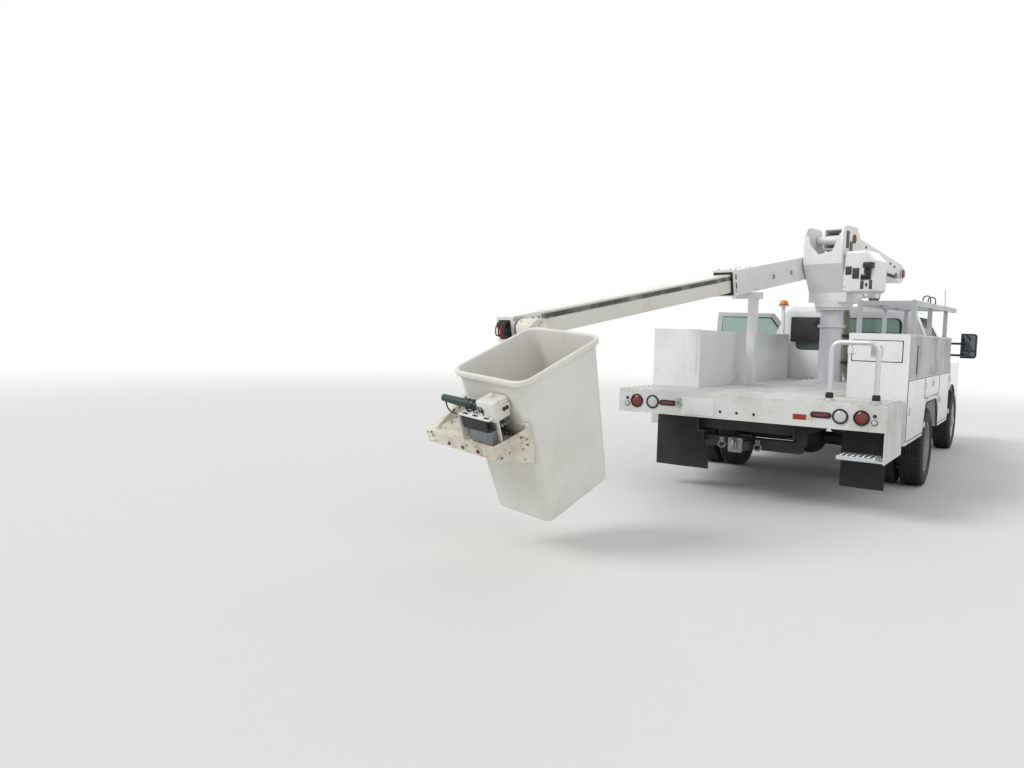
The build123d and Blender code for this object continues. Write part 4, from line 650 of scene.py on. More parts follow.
# Reflective film is smooth and even in colour, with a slight gloss and a little road dirt.
tape_red = enamel("red_reflective_tape", "#8d2420", "#5f4f46", 0.3, 0.1, 0.4, peel_mm=3.0)
tape_white = enamel("white_reflective_tape", "#c4bfae", "#7d766b", 0.3, 0.1, 0.4, peel_mm=3.0)
for finish, name, y0, y1 in ((tape_red, "red", -448, -556), (tape_white, "white", -556, -612)):
    surface("tape_" + name, "truck", finish, [block((-1.2, y0, 812), (-0.1, y1, 858), edge=0.4, corner=0.5)])
shackle_y = 561.0
shackle_eye = axes_at(put(truck, -10.0, shackle_y, 893.0), -leftward, skyward)
surface("tail_shackle", "truck", zinc, [
    ring(put(truck, -14.0, shackle_y, 868.0), ahead + 0.25 * leftward, 24, 7),
    slab(rounded(46, 46, 10), moved(shackle_eye, 0, 0, -9.5), 12, 3),
] + bolt(shackle_eye[0], rearward, 7.0, 8.0))

# Tow gear under the tail: a forged pintle hook bolted to its plate on the tow bar, with a safety
# chain ring each side, all bare and scuffed.
# Forged steel is dull grey, darkened by grease and dirt in its low places.
forged = enamel("scuffed_forged_steel", "#8f9192", "#2c2825", 0.38, 0.3, 0.6, 0.03, metallic=0.7)
hook_y, hook_z, hook_r, chain_z = 84.0, 520.0, 46.0, 505.0
hook_axes = axes_at(put(truck, 172.0, hook_y, hook_z), -leftward, skyward)
jaw = np.linspace(-0.6, 4.2, 16)
hook = put(truck, 130.0 - hook_r * np.cos(jaw), hook_y, hook_z + 12 + hook_r * np.sin(jaw))


def tube(points, radius_mm, turns=12):
    """A round tube along points: each ring stands square to the line between its neighbours."""
    points = np.asarray(points, float)
    run = np.gradient(points, axis=0)
    run /= np.linalg.norm(run, axis=1, keepdims=True)
    side = np.cross(run, (0.13, 0.31, 0.94))
    side /= np.linalg.norm(side, axis=1, keepdims=True)
    other = np.cross(run, side)
    angle = np.linspace(0, 2 * math.pi, turns, endpoint=False)
    radius = np.broadcast_to(radius_mm, len(points))[:, None, None] / 1000
    rings = points[:, None] + radius * (np.cos(angle)[:, None] * side[:, None]
                                        + np.sin(angle)[:, None] * other[:, None])
    ends = [np.repeat(points[i, None, None], turns, 1) for i in (0, -1)]
    return np.concatenate([ends[0], rings, ends[1]]), False, True


hook_bolts = []
for z in (-42, 42):
    for y in (-42, 42):
        hook_bolts += bolt(put(hook_axes, y, z, 12.0), rearward, 9.0, 9.0)
surface("pintle_hook", "truck", forged, [
    slab(rounded(128, 128, 14), hook_axes, 12, 3), tube(hook, 17),
    block((118, hook_y - 22, 500), (164, hook_y + 22, 556), edge=8, corner=10),
] + hook_bolts)
chain_y = (245.0, -80.0)
surface("chain_rings", "truck", forged, [
    ring(put(truck, 280.0, y, chain_z), leftward * 0.3 + ahead, 30, 8) for y in chain_y
] + [block((270, y - 22, chain_z + 15), (300, y + 22, chain_z + 65)) for y in chain_y])

# Grab rail: galvanised tube in floor flanges, with a black rubber sleeve at the foot of each leg;
# the fold step below has a punched, folded tread.
# Galvanising is pale grey, with a dull metal gleam.
rail_grey = enamel("galvanised_tube", "#cdd1d4", "#8d8c88", 0.3, 0.15, 0.35, metallic=0.6)
softened("grab_rail", rail_grey, 1.5)
rail_x, rail_feet_y, flange_top = 170.0, (-690.0, -1050.0), 984.0
sleeve_profile = [(0, 30), (0, 32), (40, 31), (48, 21)]
surface("rail_sleeves", "truck", seal_black, [
    turned(sleeve_profile, put(truck, rail_x, y, flange_top + 14), skyward, 28) for y in rail_feet_y])
feet = []
for y in rail_feet_y:
    feet += bolt_circle(moved(truck, rail_x, y, flange_top), 4, 40, 0, skyward, 4.5, 6.0, start=0.6)
surface("rail_flange_bolts", "truck", zinc, feet)
punched = [ring(put(truck, x, y, 542.5), skyward, 11, 3.0, 20, 6)
           for x in np.arange(95, 290, 42) for y in np.arange(-820, -1080, -42)]
surface("step_tread", "truck", rail_grey, punched)

# Mud flaps: plain moulded rubber, clamped under a steel strip by three bolts, scuffed and dusty,
# slightly curled at their free ends.
flap_rubber = enamel("dusty_flap_rubber", "#1b1b1c", "#4e4942", 0.72, 0.25, 0.4, peel_mm=3.0)
flap_rear_x, flap_front_x, flap_top, flap_tall = 601.5, 608.0, 770.0, 570.0
strip_rear_x, strip_low, hanger_top = 592.0, 735.0, 931.0
clamps = []
# Each flap's outer and inner edge.
for y0, y1, name in ((490.0, 1030.0, "left"), (-716.0, -1074.0, "right")):
    # u runs across the flap and v down it; its end curls by v squared * sin(2.6 pi u) * 5 mm.
    v = np.linspace(0, 1, 22)[:, None]
    u = np.linspace(0, 1, 20)[None]
    z = flap_top - flap_tall * v
    y = y0 + (y1 - y0) * u
    curl = 5.0 * v ** 2 * np.sin(2.6 * math.pi * u + 0.4) - 3.0 * v
    back = put(truck, flap_rear_x + curl, y, z)
    front = put(truck, flap_front_x + curl * 0.6, y, z)
    surface("mud_flap_" + name, "truck", flap_rubber, [
        (np.concatenate([back, front[::-1]]), True, False),
    ] + [(np.stack([back[:, i], front[:, i]]), False, False) for i in (0, -1)],
        stands_for=("mud_flaps",) if name == "left" else ())
    for x0, x1 in ((strip_rear_x, strip_rear_x + 9), (flap_front_x + 0.5, flap_front_x + 16)):
        clamps.append(block((x0, y0, strip_low), (x1, y1, flap_top + 2), edge=2, corner=3))
    for k in (0.1, 0.5, 0.9):
        place = put(truck, strip_rear_x, y0 + (y1 - y0) * k, strip_low + 18)
        clamps += bolt(place, rearward, 7.0, 7.0)
    for k in (0.12, 0.88):
        y = y0 + (y1 - y0) * k
        clamps.append(block((610, y - 15, 750), (622, y + 15, hanger_top), edge=2, corner=3))
surface("flap_clamps", "truck", chassis_black, clamps)

# Cab: steel panels pressed and spot-welded, rounded at every fold, in glossy white enamel, with
# rubber seals bonded round its glass.
cab_white = enamel("white_enamel_on_pressed_panels", "#e6e8ea", "#a09a90", 0.22, 0.12, 0.14, low_dirt=0.55,
                   coat=0.4)
softened("cab_shell", cab_white, 16.0, 24.0)
belt_z, cab_half, window_tall, window_in = 1290.0, 1005.0, 600.0, 245.0
lean = window_in / window_tall
slope_len = math.hypot(window_tall, window_in) / window_tall
door_rear_x, hinge_x, hinge_y = 4145.0, 5267.0, 1016.0
open_rad = math.radians(63.0)


def door_axes(side, x, z, stand_out=0.0):
    """The leaning side of the cab at x, z: ahead, up the lean, and outwards. The left door stands
    open, so its frame is turned about the hinge line by the door's angle."""
    rise = np.array([0.0, -side * lean if z >= belt_z else 0.0, 1.0])
    rise /= np.linalg.norm(rise)
    out = np.array([0.0, side * rise[2], -side * rise[1]])
    y = side * (cab_half - max(0.0, z - belt_z) * lean)
    origin, forward = np.array([x, y, z]) + out * stand_out, ahead
    if side > 0:
        c, s = math.cos(open_rad), math.sin(open_rad)
        spin = np.array([[c, s, 0], [-s, c, 0], [0, 0, 1]])
        hinge = np.array([hinge_x, hinge_y, 0])
        origin = spin @ (origin - hinge) + hinge
        forward, rise, out = spin @ ahead, spin @ rise, spin @ out
    return (put(truck, *origin), forward, rise, out)


def flat_finish(name, colour, **settings):
    """A finish with no pattern: one colour, and the shader's other inputs by name."""
    material = bpy.data.materials.new(name)
    material.use_nodes = True
    shader = material.node_tree.nodes["Principled BSDF"]
    shader.inputs["Base Color"].default_value = linear(colour)
    for key, value in settings.items():
        shader.inputs[key.replace("_", " ")].default_value = value
    return material


# Silvered flat glass reflects sharply and a little dark; grained plastic has a soft, broad sheen.
mirror_glass = flat_finish("silvered_mirror_glass", "#5f666b", Metallic=1.0, Roughness=0.04)
black_plastic = enamel("black_grained_plastic", "#17181a", "#413e3a", 0.5, 0.05, 0.3, peel_mm=1.6)
# The window's corners, as a place along the truck and a height.
window = np.array([(4205, 1310), (4205, 1798), (4900, 1798), (5200, 1450), (5200, 1310)], float)
handle_x, handle_z = 4290.0, 1175.0
lock_profile = [(0, 0), (0, 13), (6, 12), (7, 0)]
mirror_x, mirror_out, mirror_foot_z, mirror_rise = 5168.0, 254.0, 1200.0, 262.0
mirror_wide, flat_tall, round_tall = 150, 205, 70


def divided(outline, steps):
    """A closed outline with each of its sides cut into equal steps."""
    following = np.roll(outline, -1, 0)
    return np.linspace(outline, following, steps, endpoint=False).swapaxes(0, 1).reshape(-1, 2)


for side, name in sides:
    body = "door_body_" + name
    softened("cab_door_" + name, cab_white, 7.0, 24.0)
    softened("mirror_" + name, black_plastic, 16.0)
    axes = door_axes(side, 0.0, belt_z + 0.001, 1.0)
    outline = np.stack([window[:, 0], (window[:, 1] - belt_z) * slope_len], -1)
    belt_axes = door_axes(side, 0.0, belt_z - 2, 1.0)
    surface("window_seal_" + name, body, seal_black, [
        rim_band(divided(outline, 8), axes, 16.0, 5.0),
        block((door_rear_x, -13, 0), (hinge_x - 5, 3, 7), belt_axes, 2, 3),
    ])
    grip = door_axes(side, handle_x, handle_z)
    surface("door_handle_" + name, body, black_plastic, [
        slab(rounded(190, 70, 24), grip, 5, 2), block((-88, -12, 4), (88, 16, 26), grip, 8, 10),
        turned(lock_profile, put(grip, 120, 0, 0), grip[3], 18),
    ])
    upright = door_axes(side, mirror_x, mirror_foot_z, mirror_out)
    glass_axes = axes_at(put(upright, 0.0, mirror_rise, 0.0), -side * upright[3], skyward)
    surface("mirror_glass_" + name, body, mirror_glass, [
        slab(rounded(mirror_wide, flat_tall, 22), moved(glass_axes, 0, 38, 0), 3, 1),
        slab(rounded(mirror_wide, round_tall, 20), moved(glass_axes, 0, -112, 0), 3, 1),
    ])

# Panes: toughened float glass with a faint green tint, clear enough to show the bench, in black
# rubber seals, with two wipers on the windscreen.
glass = flat_finish("tinted_safety_glass", "#a9bdb8", Roughness=0.03, Transmission_Weight=0.85, IOR=1.45)
dress(glass, "cab_glass", "door_glass_left", "door_glass_right")
rear_pane = axes_at(put(truck, 4014.0, 0.0, 1560.0), -leftward, skyward)
slant = np.array([0.687, 0.0, 0.727])
screen = (put(truck, 5330.0, 0.0, 1600.0) + slant * 0.002, leftward, np.cross(slant, leftward), slant)
surface("cab_glass_seals", "truck", seal_black, [
    rim_band(rounded(1264, 434, 76, 8), rear_pane, 24.0, 40.0),
    rim_band(rounded(1404, 748, 62, 8), screen, 30.0, 14.0),
])
wiper_foot = -368
boss_profile = [(0, 0), (0, 20), (14, 18), (16, 0)]
wiper_sheets = []
# Where each arm starts and ends across the screen.
for y0, y1 in ((-520, -40), (120, 600)):
    arm = np.linspace(put(screen, y0, wiper_foot, 14), put(screen, y1, -60, 14), 6)
    blade = np.linspace(put(screen, y1 - 250, -190, 12), put(screen, y1 + 160, 55, 12), 5)
    wiper_sheets += [tube(arm, 5.0, 8), tube(blade, 6.0, 8)]
    wiper_sheets.append(turned(boss_profile, put(screen, y0, wiper_foot, 0), slant, 18))
surface("wipers", "truck", black_plastic, wiper_sheets)

# Black guard plate in front of the rear window's left part: sheet steel in black paint, held off
# the cab's back by two bent straps.
guard_x, guard_y, cab_back_x = 3944.0, 510.0, 4024.0
guard = axes_at(put(truck, guard_x, guard_y, 1617.0), -leftward, skyward)
surface("window_guard_plate", "truck", chassis_black, [slab(rounded(360, 325, 14), guard, 5, 1.5)] + [
    block((guard_x - 1, y - 15, z - 10), (cab_back_x, y + 15, z + 10))
    for y in (guard_y - 140, guard_y + 140) for z in (1500, 1725)
])

# Bench seat: two foam pads in woven grey cloth, each with sewn channels, pulled in at its edges;
# the dash is a moulding and the wheel a rim on three spokes.


def seat_cloth(name, colour, dark):
    """Woven cloth: threads of 1.5 mm drawn at 5 mm so that they show, worn in clouds of 140 mm, with
    a soft sheen."""
    material, tree, shader, space = started(name)
    warp, weft = [
        node(tree, "TexWave", {"Scale": 31.0, "bands_direction": way, "Distortion": 0.6}, Vector=space)
        for way in "YX"]
    weave = node(tree, "Math", {"operation": "MAXIMUM"}, in0=warp.outputs["Fac"], in1=weft.outputs["Fac"])
    worn = node(tree, "TexNoise", {"Scale": 7.0, "Detail": 5.0}, Vector=space)
    tone = node(tree, "Math", {"operation": "MULTIPLY"}, in0=weave.outputs[0], in1=worn.outputs[0])
    mixed = node(tree, "Mix", {"data_type": "RGBA", 6: linear(dark), 7: linear(colour)}, in0=tone.outputs[0])
    tree.links.new(mixed.outputs[2], shader.inputs["Base Color"])
    shader.inputs["Roughness"].default_value = 0.9
    shader.inputs["Sheen Weight"].default_value = 0.3
    bump = node(tree, "Bump", {"Strength": 0.5, "Distance": 0.001}, Height=weave.outputs[0])
    tree.links.new(bump.outputs[0], shader.inputs["Normal"])
    return material


def cushion(axes, width, depth, thick, channels):
    """A pad: grow shrinks its outline from row to row, towards the middle of its base and of its
    face, and rise lifts each row. The face is crowned by (1 - grow squared) * crown, less a bell
    curve of seam_deep in each sewn channel across its width."""
    crown, seam_deep, seam_share = 20, 7, 0.06
    outline = divided(rounded(width, depth, 60, 8), 4)
    base, wall = [0, 0.5, 0.9, 0.965, 0.992], [1.0, 0.996, 1.0, 0.99, 0.955]
    face = [0.9, 0.82, 0.72, 0.6, 0.48, 0.36, 0.24, 0.12, 0]
    grow = np.array(base + wall + face)[:, None]
    rise = np.array([0, 0, 0, 0.03, 0.12, 0.3, 0.5, 0.7, 0.86, 0.95, 0.985] + [1.0] * 8)[:, None]
    x, y = grow * outline[:, 0], grow * outline[:, 1]
    top = (np.arange(len(grow)) >= len(base + wall))[:, None]
    across = (x / (width / channels) + 0.5 * (channels % 2)) % 1.0 - 0.5
    seam = np.exp(-(across / seam_share) ** 2) * (grow < 0.93)
    z = rise * (thick - crown) + top * (crown * (1 - grow ** 2) - seam_deep * seam)
    return put(axes, x, y, z), False, True


grey_cloth = seat_cloth("woven_grey_seat_cloth", "#6a6d70", "#2a2b2d")
bench_wide, bench_channels = 1340, 9
seat_axes = (put(truck, 4385.0, 0.0, 985.0), leftward, rearward, skyward)
back_axes = axes_at(put(truck, 4082.0, 0.0, 1350.0), leftward, skyward)
# Each pad's frame, its depth and its thickness.
for piece_name, axes, depth, thick in (("bench_cushion", seat_axes, 505, 125),
                                       ("bench_back", back_axes, 510, 118)):
    sheet = cushion(axes, bench_wide, depth, thick, bench_channels)
    pad = surface(piece_name, "truck", grey_cloth, [sheet], 60.0)
dash_half, dash_face_x = 858, 5255
# The dash's section, as a place along the truck and a height.
dash = [(dash_face_x, 1000), (dash_face_x, 1150), (5290, 1215), (5380, 1236), (5625, 1238), (5625, 1000)]
dash_axes = (put(truck, 0.0, -dash_half, 0.0), ahead, skyward, leftward)
surface("dash_moulding", "truck", black_plastic, [
    slab(dash, dash_axes, 2 * dash_half, 6),
    block((4120, -660, 862), (4640, 660, 982), edge=10, corner=30),
    block((dash_face_x - 17, 230, 1090), (dash_face_x + 1, 570, 1200), edge=6, corner=6),
    block((dash_face_x - 15, -140, 1040), (dash_face_x + 1, 140, 1190), edge=6, corner=6),
], stands_for=("cab_interior",))
driver_y, wheel_r, rim_thick = 400.0, 185, 14
column_top = put(truck, 5020.0, driver_y, 1230.0)
column_way = column_top - put(truck, 5260.0, driver_y, 1180.0)
column_way /= np.linalg.norm(column_way)
column_line = np.linspace(put(truck, 5262.0, driver_y, 1179.6), column_top, 5)
hub_profile = [(-14, 0), (-14, 50), (8, 55), (16, 40), (18, 0)]
wheel_parts = [
    ring(column_top, column_way, wheel_r, rim_thick, 48, 12),
    turned(hub_profile, column_top, column_way, 28),
    tube(column_line, 23.0, 16),
]
for angle in (0.0, 2.2, 4.08):
    side_way = math.cos(angle) * leftward + math.sin(angle) * np.cross(column_way, leftward)
    spoke = np.linspace(column_top, column_top + side_way * (wheel_r - 3) / 1000, 4)
    wheel_parts.append(tube(spoke, np.array([13, 11, 9, 9]), 10))
surface("steering_wheel", "truck", black_plastic, wheel_parts)

# Front end: pressed bonnet and wings, a moulded black grille of close bars, headlamps of chromed
# bowls behind clear covers, and a dulled chrome bumper on two brackets.
softened("bonnet", cab_white, 18.0, 24.0)
softened("front_wings", cab_white, 14.0, 24.0)
softened("grille", black_plastic, 6.0)
# Weathered chrome mirrors its surroundings a little softly.
bumper_chrome = enamel("dulled_chrome_bumper", "#c9ccce", "#8a867f", 0.14, 0.05, 0.15, metallic=1.0)
softened("front_bumper", bumper_chrome, 5.0, 24.0)
bar_pitch, bar_half = 32, 3
surface("grille_bars", "truck", black_plastic, [
    block((6806, y - bar_half, 792), (6822, y + bar_half, 1108), edge=1.5, corner=2)
    for y in np.arange(-560, 561, bar_pitch)])
# The bowls are bright, and mirror the light behind smooth clear covers.
bowl_chrome = enamel("chromed_lamp_bowl", "#d4d6d8", "#8b8b8b", 0.08, 0.0, 0.05, metallic=1.0)
lamp_wide, lamp_tall, cover_more = 335, 260, 8
bowl_profile = [(8, 78), (24, 76), (12, 40), (10, 0)]
bowls, covers, signals = [], [], []
for side in (1, -1):
    face = axes_at(put(truck, 6791.0, side * 812.0, 995.0), leftward, skyward)
    cover = rounded(lamp_wide + cover_more, lamp_tall + cover_more, 42, 7)
    covers.append(slab(cover, moved(face, 0, 0, 26), 17, 8))
    bowls.append(slab(rounded(lamp_wide, lamp_tall, 40, 7), face, 8, 3))
    for y in (-75, 75):
        bowls.append(turned(bowl_profile, put(face, y, 20, 0.0), ahead, 32))
    signals.append(slab(rounded(300, 44, 18), moved(face, 0, -100, 8), 14, 5))
clear_cover = lens_plastic("clear_polycarbonate_cover", "#dfe3e4", 0.92)
surface("headlamp_bowls", "truck", bowl_chrome, bowls)
surface("headlamp_covers", "truck", clear_cover, covers)
surface("turn_signals", "truck", amber_lens, signals)
# Each front arch's trim is an arc round the wheel that ends with the wing's rear edge.
arch_r, arch_y, wing_end_x = 503, 1016.0, 5703.0
sweep = np.linspace(math.radians(26), math.acos((wing_end_x - front_x) / arch_r), 24)
surface("front_arch_trim", "truck", black_plastic, [
    tube(put(truck, front_x + arch_r * np.cos(sweep), side * arch_y, axle_z + arch_r * np.sin(sweep)),
         13.0, 10) for side in (1, -1)])


def bent(points, radius, steps=9):
    """A flat line with its corners rounded: each becomes a circle's arc that touches both runs."""
    line = [np.array(points[0], float)]
    for before, corner, after in zip(points[:-2], points[1:-1], points[2:]):
        corner = np.array(corner, float)
        first, second = np.array(before) - corner, np.array(after) - corner
        first, second = first / np.linalg.norm(first), second / np.linalg.norm(second)
        half = math.acos(float(first @ second)) / 2
        middle = corner + (first + second) / np.linalg.norm(first + second) * radius / math.sin(half)
        start = corner + first * radius / math.tan(half) - middle
        end = corner + second * radius / math.tan(half) - middle
        for t in np.linspace(0, 1, steps):
            point = (1 - t) * start + t * end
            line.append(middle + point / np.linalg.norm(point) * radius)
    line.append(np.array(points[-1], float))
    return np.array(line)


# Rear wheel arches' edges: a black rubber strip pushed on the folded steel, whose cut runs out from
# the wheel by 255 in 562 of height.
strip_low, strip_high, strip_bend, strip_y = 578, 890, 130.0, 1186.0
shoulder_x = 400
foot_x = shoulder_x + (strip_high - strip_low) * 255 / 562
arch_line = bent([(rear_x - foot_x, strip_low), (rear_x - shoulder_x, strip_high),
                  (rear_x + shoulder_x, strip_high), (rear_x + foot_x, strip_low)], strip_bend)
surface("rear_arch_trim", "truck", seal_black, [
    tube(put(truck, arch_line[:, 0], side * strip_y, arch_line[:, 1]), 8.0, 8) for side in (1, -1)
])

# Rack: dull aluminium extrusions bolted on posts over the right cabinet, with two bent steel hooks
# and a thin whip aerial on its outer rail.
# Weathered aluminium is mid grey, with a broad and soft shine.
rack_alu = enamel("dull_aluminium_extrusion", "#a9acae", "#77777a", 0.36, 0.2, 0.4, metallic=0.75)
softened("rack", rack_alu, 3.0)
rack_low_x, rack_low_z, rack_rise, rack_foot_z = 1120.0, 1855.0, 0.0181, 1554.0
inner_rail_y, outer_rail_y = -700.0, -1150.0


def rack_z(x):
    """Height of the rack's upper side, which rises by rack_rise of the distance."""
    return rack_low_z + (x - rack_low_x) * rack_rise


hook_r, whip_x, whip_top = 35, 3400, 2080
hooks = []
turn = np.linspace(0, 3.6, 10)
for x in (2180.0, 2560.0):
    foot = (put(truck, x, outer_rail_y, rack_z(x) - 8), ahead, leftward, skyward)
    curl = put(foot, 0, hook_r * (1 - np.cos(turn)), 50 + hook_r * np.sin(turn))
    hooks.append(tube(np.concatenate([foot[0][None], curl]), 6.0, 8))
whip = np.linspace((whip_x, rack_z(whip_x) - 4), (whip_x - 70, whip_top), 8)
hooks.append(tube(put(truck, whip[:, 0], outer_rail_y, whip[:, 1]), 3.0, 6))
surface("rack_hooks_and_whip", "truck", chassis_black, hooks)
rack_bolts = []
for y, posts in ((inner_rail_y, (1140, 2400, 3800)), (outer_rail_y, (1140, 2200, 3500))):
    for x in posts:
        for place in ((x, y, rack_z(x)), (x - 42, y, rack_foot_z), (x + 42, y, rack_foot_z)):
            rack_bolts += bolt(put(truck, *place), skyward, 6.0, 7.0)
surface("rack_bolts", "truck", zinc, rack_bolts)

# Beacon: an amber moulded dome on a black foot, on the plate of a white square post that stands on
# the left cabinet.
beacon_x, beacon_y, post_top = 3810.0, 760.0, 1914.0
# Each part's half width, bottom and top: the post, its top plate and its foot plate.
surface("beacon_post", "truck", body_white, [
    block((beacon_x - half, beacon_y - half, low), (beacon_x + half, beacon_y + half, high))
    for half, low, high in ((20, box_top, post_top), (70, post_top, post_top + 8),
                            (40, box_top, box_top + 8))])
foot_profile = [(0, 0), (0, 64), (14, 62), (16, 56), (16, 0)]
dome_profile = [(0, 0), (0, 56), (30, 54), (48, 44), (58, 26), (61, 0)]
surface("beacon_foot", "truck", black_plastic, [
    turned(foot_profile, put(truck, beacon_x, beacon_y, post_top + 7), skyward, 40)])
surface("beacon_dome", "truck", amber_lens, [
    turned(dome_profile, put(truck, beacon_x, beacon_y, post_top + 22), skyward, 40)])

# Boom rest: a welded post with a saddle, in worn white enamel, and a black rubber pad bolted into
# the saddle.
boom_white = enamel("white_enamel_on_boom_steel", "#e5e6e5", "#96897a", 0.3, 0.16, 0.26, 0.05)
softened("boom_rest", boom_white, 3.0)
rest_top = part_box("boom_rest")[1][2] * 1000
rest_x, rest_y, pad_half, pad_half_y = 1830, 590, 42, 158
surface("boom_rest_pad", "truck", seal_black, [
    block((rest_x - pad_half, rest_y - pad_half_y, rest_top),
          (rest_x + pad_half, rest_y + pad_half_y, rest_top + 4), edge=1.5, corner=6)])

# Pedestal: a thick rolled tube welded to a base plate, patchily painted, with bolts round both of
# its flanges and a bundle of hydraulic hoses strapped up its right side.
pedestal_white = enamel("patchy_enamel_on_pedestal", "#d9dbe0", "#93897f", 0.35, 0.3, 0.45, 0.06)
dress(pedestal_white, "pedestal")
slew_x, ring_z, base_top, flange_low = 3200.0, 1930.0, 997.0, 1826.0
slew_axes = (put(truck, slew_x, 0.0, 0.0), ahead, leftward, skyward)
base_bolts = []
for x in (-250, 0, 250):
    for y in (-270, 270):
        base_bolts += bolt(put(slew_axes, x, y, base_top), skyward, 14.0, 16.0)
base_bolts += bolt_circle(slew_axes, 20, 182, flange_low, -skyward, 8.0, 10.0)
surface("pedestal_bolts", "truck", zinc, base_bolts)


def hoses(name, body, finish, runs):
    """Fixed hoses: each run is (radius in mm, points), a smooth line that starts and ends on its end
    points and has a round section."""
    line = bpy.data.curves.new(name, "CURVE")
    line.dimensions = "3D"
    line.bevel_depth = 0.001
    line.bevel_resolution = 3
    line.use_fill_caps = True
    line.resolution_u = 8
    for radius, points in runs:
        points = np.asarray(points)
        spline = line.splines.new("NURBS")
        spline.points.add(len(points) - 1)
        spline.points.foreach_set("co", np.hstack([points, np.ones((len(points), 1))]).ravel())
        spline.points.foreach_set("radius", np.full(len(points), float(radius)))
        spline.order_u = 3
        spline.use_endpoint_u = True
    line.materials.append(finish)
    piece = bpy.data.objects.new(name, line)
    bpy.context.scene.collection.objects.link(piece)
    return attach(piece, body)


# Hose rubber is black with a dull gloss; the woven sleeve round it is olive, matt and dusty.
hose_rubber = enamel("black_hydraulic_hose", "#1d1e20", "#57534c", 0.5, 0.1, 0.5, peel_mm=3.0)
hose_sleeve = enamel("dusty_olive_hose_sleeve", "#8b8f7f", "#57534a", 0.75, 0.2, 0.6, peel_mm=5.0)
riser_route = np.array([(-20, -60, 1002), (-10, -20, 1060), (0, 0, 1250), (0, 0, 1550), (10, 0, 1750),
                        (20, 30, 1865)])
riser = []
for k in range(6):
    x, y, z = (riser_route + (19 * k - 60, -150 - 17 * (k % 3), 0)).T
    riser.append((7.5, put(slew_axes, x, y, z)))
hoses("pedestal_hoses", "truck", hose_sleeve, riser)
surface("hose_straps", "truck", webbing, [
    block((-82, -204, z - 14), (62, -128, z + 14), slew_axes, 4, 20) for z in (1230, 1540)])
motor_profile = [(0, 0), (0, 52), (14, 56), (130, 56), (138, 48), (150, 40), (152, 0)]
surface("valve_motor", "truck", zinc, [
    turned(motor_profile, put(slew_axes, 130.0, -205.0, 1240.0), skyward, 28),
    block((70, -250, 1160), (190, -150, 1240), slew_axes),
    block((100, -155, 1180), (160, -120, 1220), slew_axes),
])

# Turret: two cheeks welded to a bent rear plate with an open throat, on a bolted slewing ring; its
# heel pin is bare and rusty, and blank plates are riveted down its right cheek.
turn_rad, turret_half = math.radians(10.5), 225.0
heel_x, heel_z = -60.0, 2665.0
boom_ahead = np.array([math.cos(turn_rad), -math.sin(turn_rad), 0.0])
boom_left = np.array([math.sin(turn_rad), math.cos(turn_rad), 0.0])
aloft = (slew_axes[0], boom_ahead, boom_left, skyward)
softened("turret", boom_white, 4.0)
rusty_pin = enamel("rusted_pin_steel", "#7d6555", "#54321f", 0.6, 0.3, 0.8, 0.1, metallic=0.4)
heel = put(aloft, heel_x, 0.0, heel_z)
heel_cap = [(0, 0), (0, 52), (6, 52), (8, 46), (8, 0)]
surface("heel_pin_caps", "turret_body", rusty_pin, [
    turned(heel_cap, put(aloft, heel_x, side * (turret_half + 0.1), heel_z), boom_left * side, 28)
    for side in (1, -1)])
surface("slewing_ring_bolts", "turret_body", zinc,
        bolt_circle(aloft, 24, 202, ring_z, skyward, 5.0, 8.0))
# The blank plates are smooth dark paint on alloy, half glossy.
blank_dark = enamel("blank_dark_plate", "#2b2d31", "#6c6862", 0.4, 0.1, 0.4)
cheek = axes_at(put(aloft, 0.0, -turret_half - 0.2, 0.0), boom_ahead, skyward)
# Each plate's place along the cheek and up it, its width and its height.
surface("blank_cheek_plates", "turret_body", blank_dark, [
    slab(rounded(width, height, 6), moved(cheek, x, z, 0.0), 2.4, 0.8)
    for x, z, width, height in ((-240.0, 2640.0, 84, 200), (-140.0, 2545.0, 80, 170))])

# Turret cover: a gel-coated moulding over the swing drive and valves. Its rear face carries blank
# plates, a black control box and a panel of short levers, all screwed on.
# Gel coat is smooth and glossy, with slow waves in it.
gel_coat = enamel("gel_coat_on_turret_cover", "#e3e6e8", "#9d968a", 0.2, 0.2, 0.3, coat=0.3)
softened("turret_cover", gel_coat, 22.0)
cover_back = axes_at(put(aloft, -330.3, 0.0, 0.0), -boom_left, skyward)


def on_cover(x, z, width, height, thick, corner=5.0):
    """A rounded plate flat on the cover's rear face, at x to the right of the slewing axis."""
    return slab(rounded(width, height, corner), moved(cover_back, x, z, 0.0), thick, 0.8)


surface("blank_cover_plates", "turret_body", blank_dark, [
    on_cover(291.0, 2277.0, 70, 96, 2.4), on_cover(372.0, 2243.0, 77, 122, 2.4),
    on_cover(447.0, 2112.0, 36, 96, 2.4), on_cover(542.0, 2114.0, 32, 103, 2.4)])
levers_z, switch_x, switch_z = 2198.0, 496.0, 2114.0
surface("control_panel", "turret_body", black_plastic, [
    on_cover(525.0, 2326.0, 104, 64, 70, 8.0), on_cover(509.0, 2262.0, 64, 62, 40, 6.0),
    on_cover(486.0, levers_z, 109, 58, 12), on_cover(switch_x, switch_z, 22, 44, 8, 10.5),
] + [tube(put(cover_back, x, np.array([levers_z - 2, levers_z + 8]), np.array([8.0, 40.0])), 5.0, 8)
     for x in np.arange(446, 530, 20.0)])
surface("panel_plates", "turret_body", plate_blank, [on_cover(switch_x, switch_z, 51, 90, 3)])
cover_screws = []
for z in (2090.0, 2300.0, 2440.0):
    cover_screws += bolt(put(cover_back, 252.0, z, 0.0), cover_back[3], 4.5, 4.0)
surface("cover_screws", "turret_body", zinc, cover_screws)

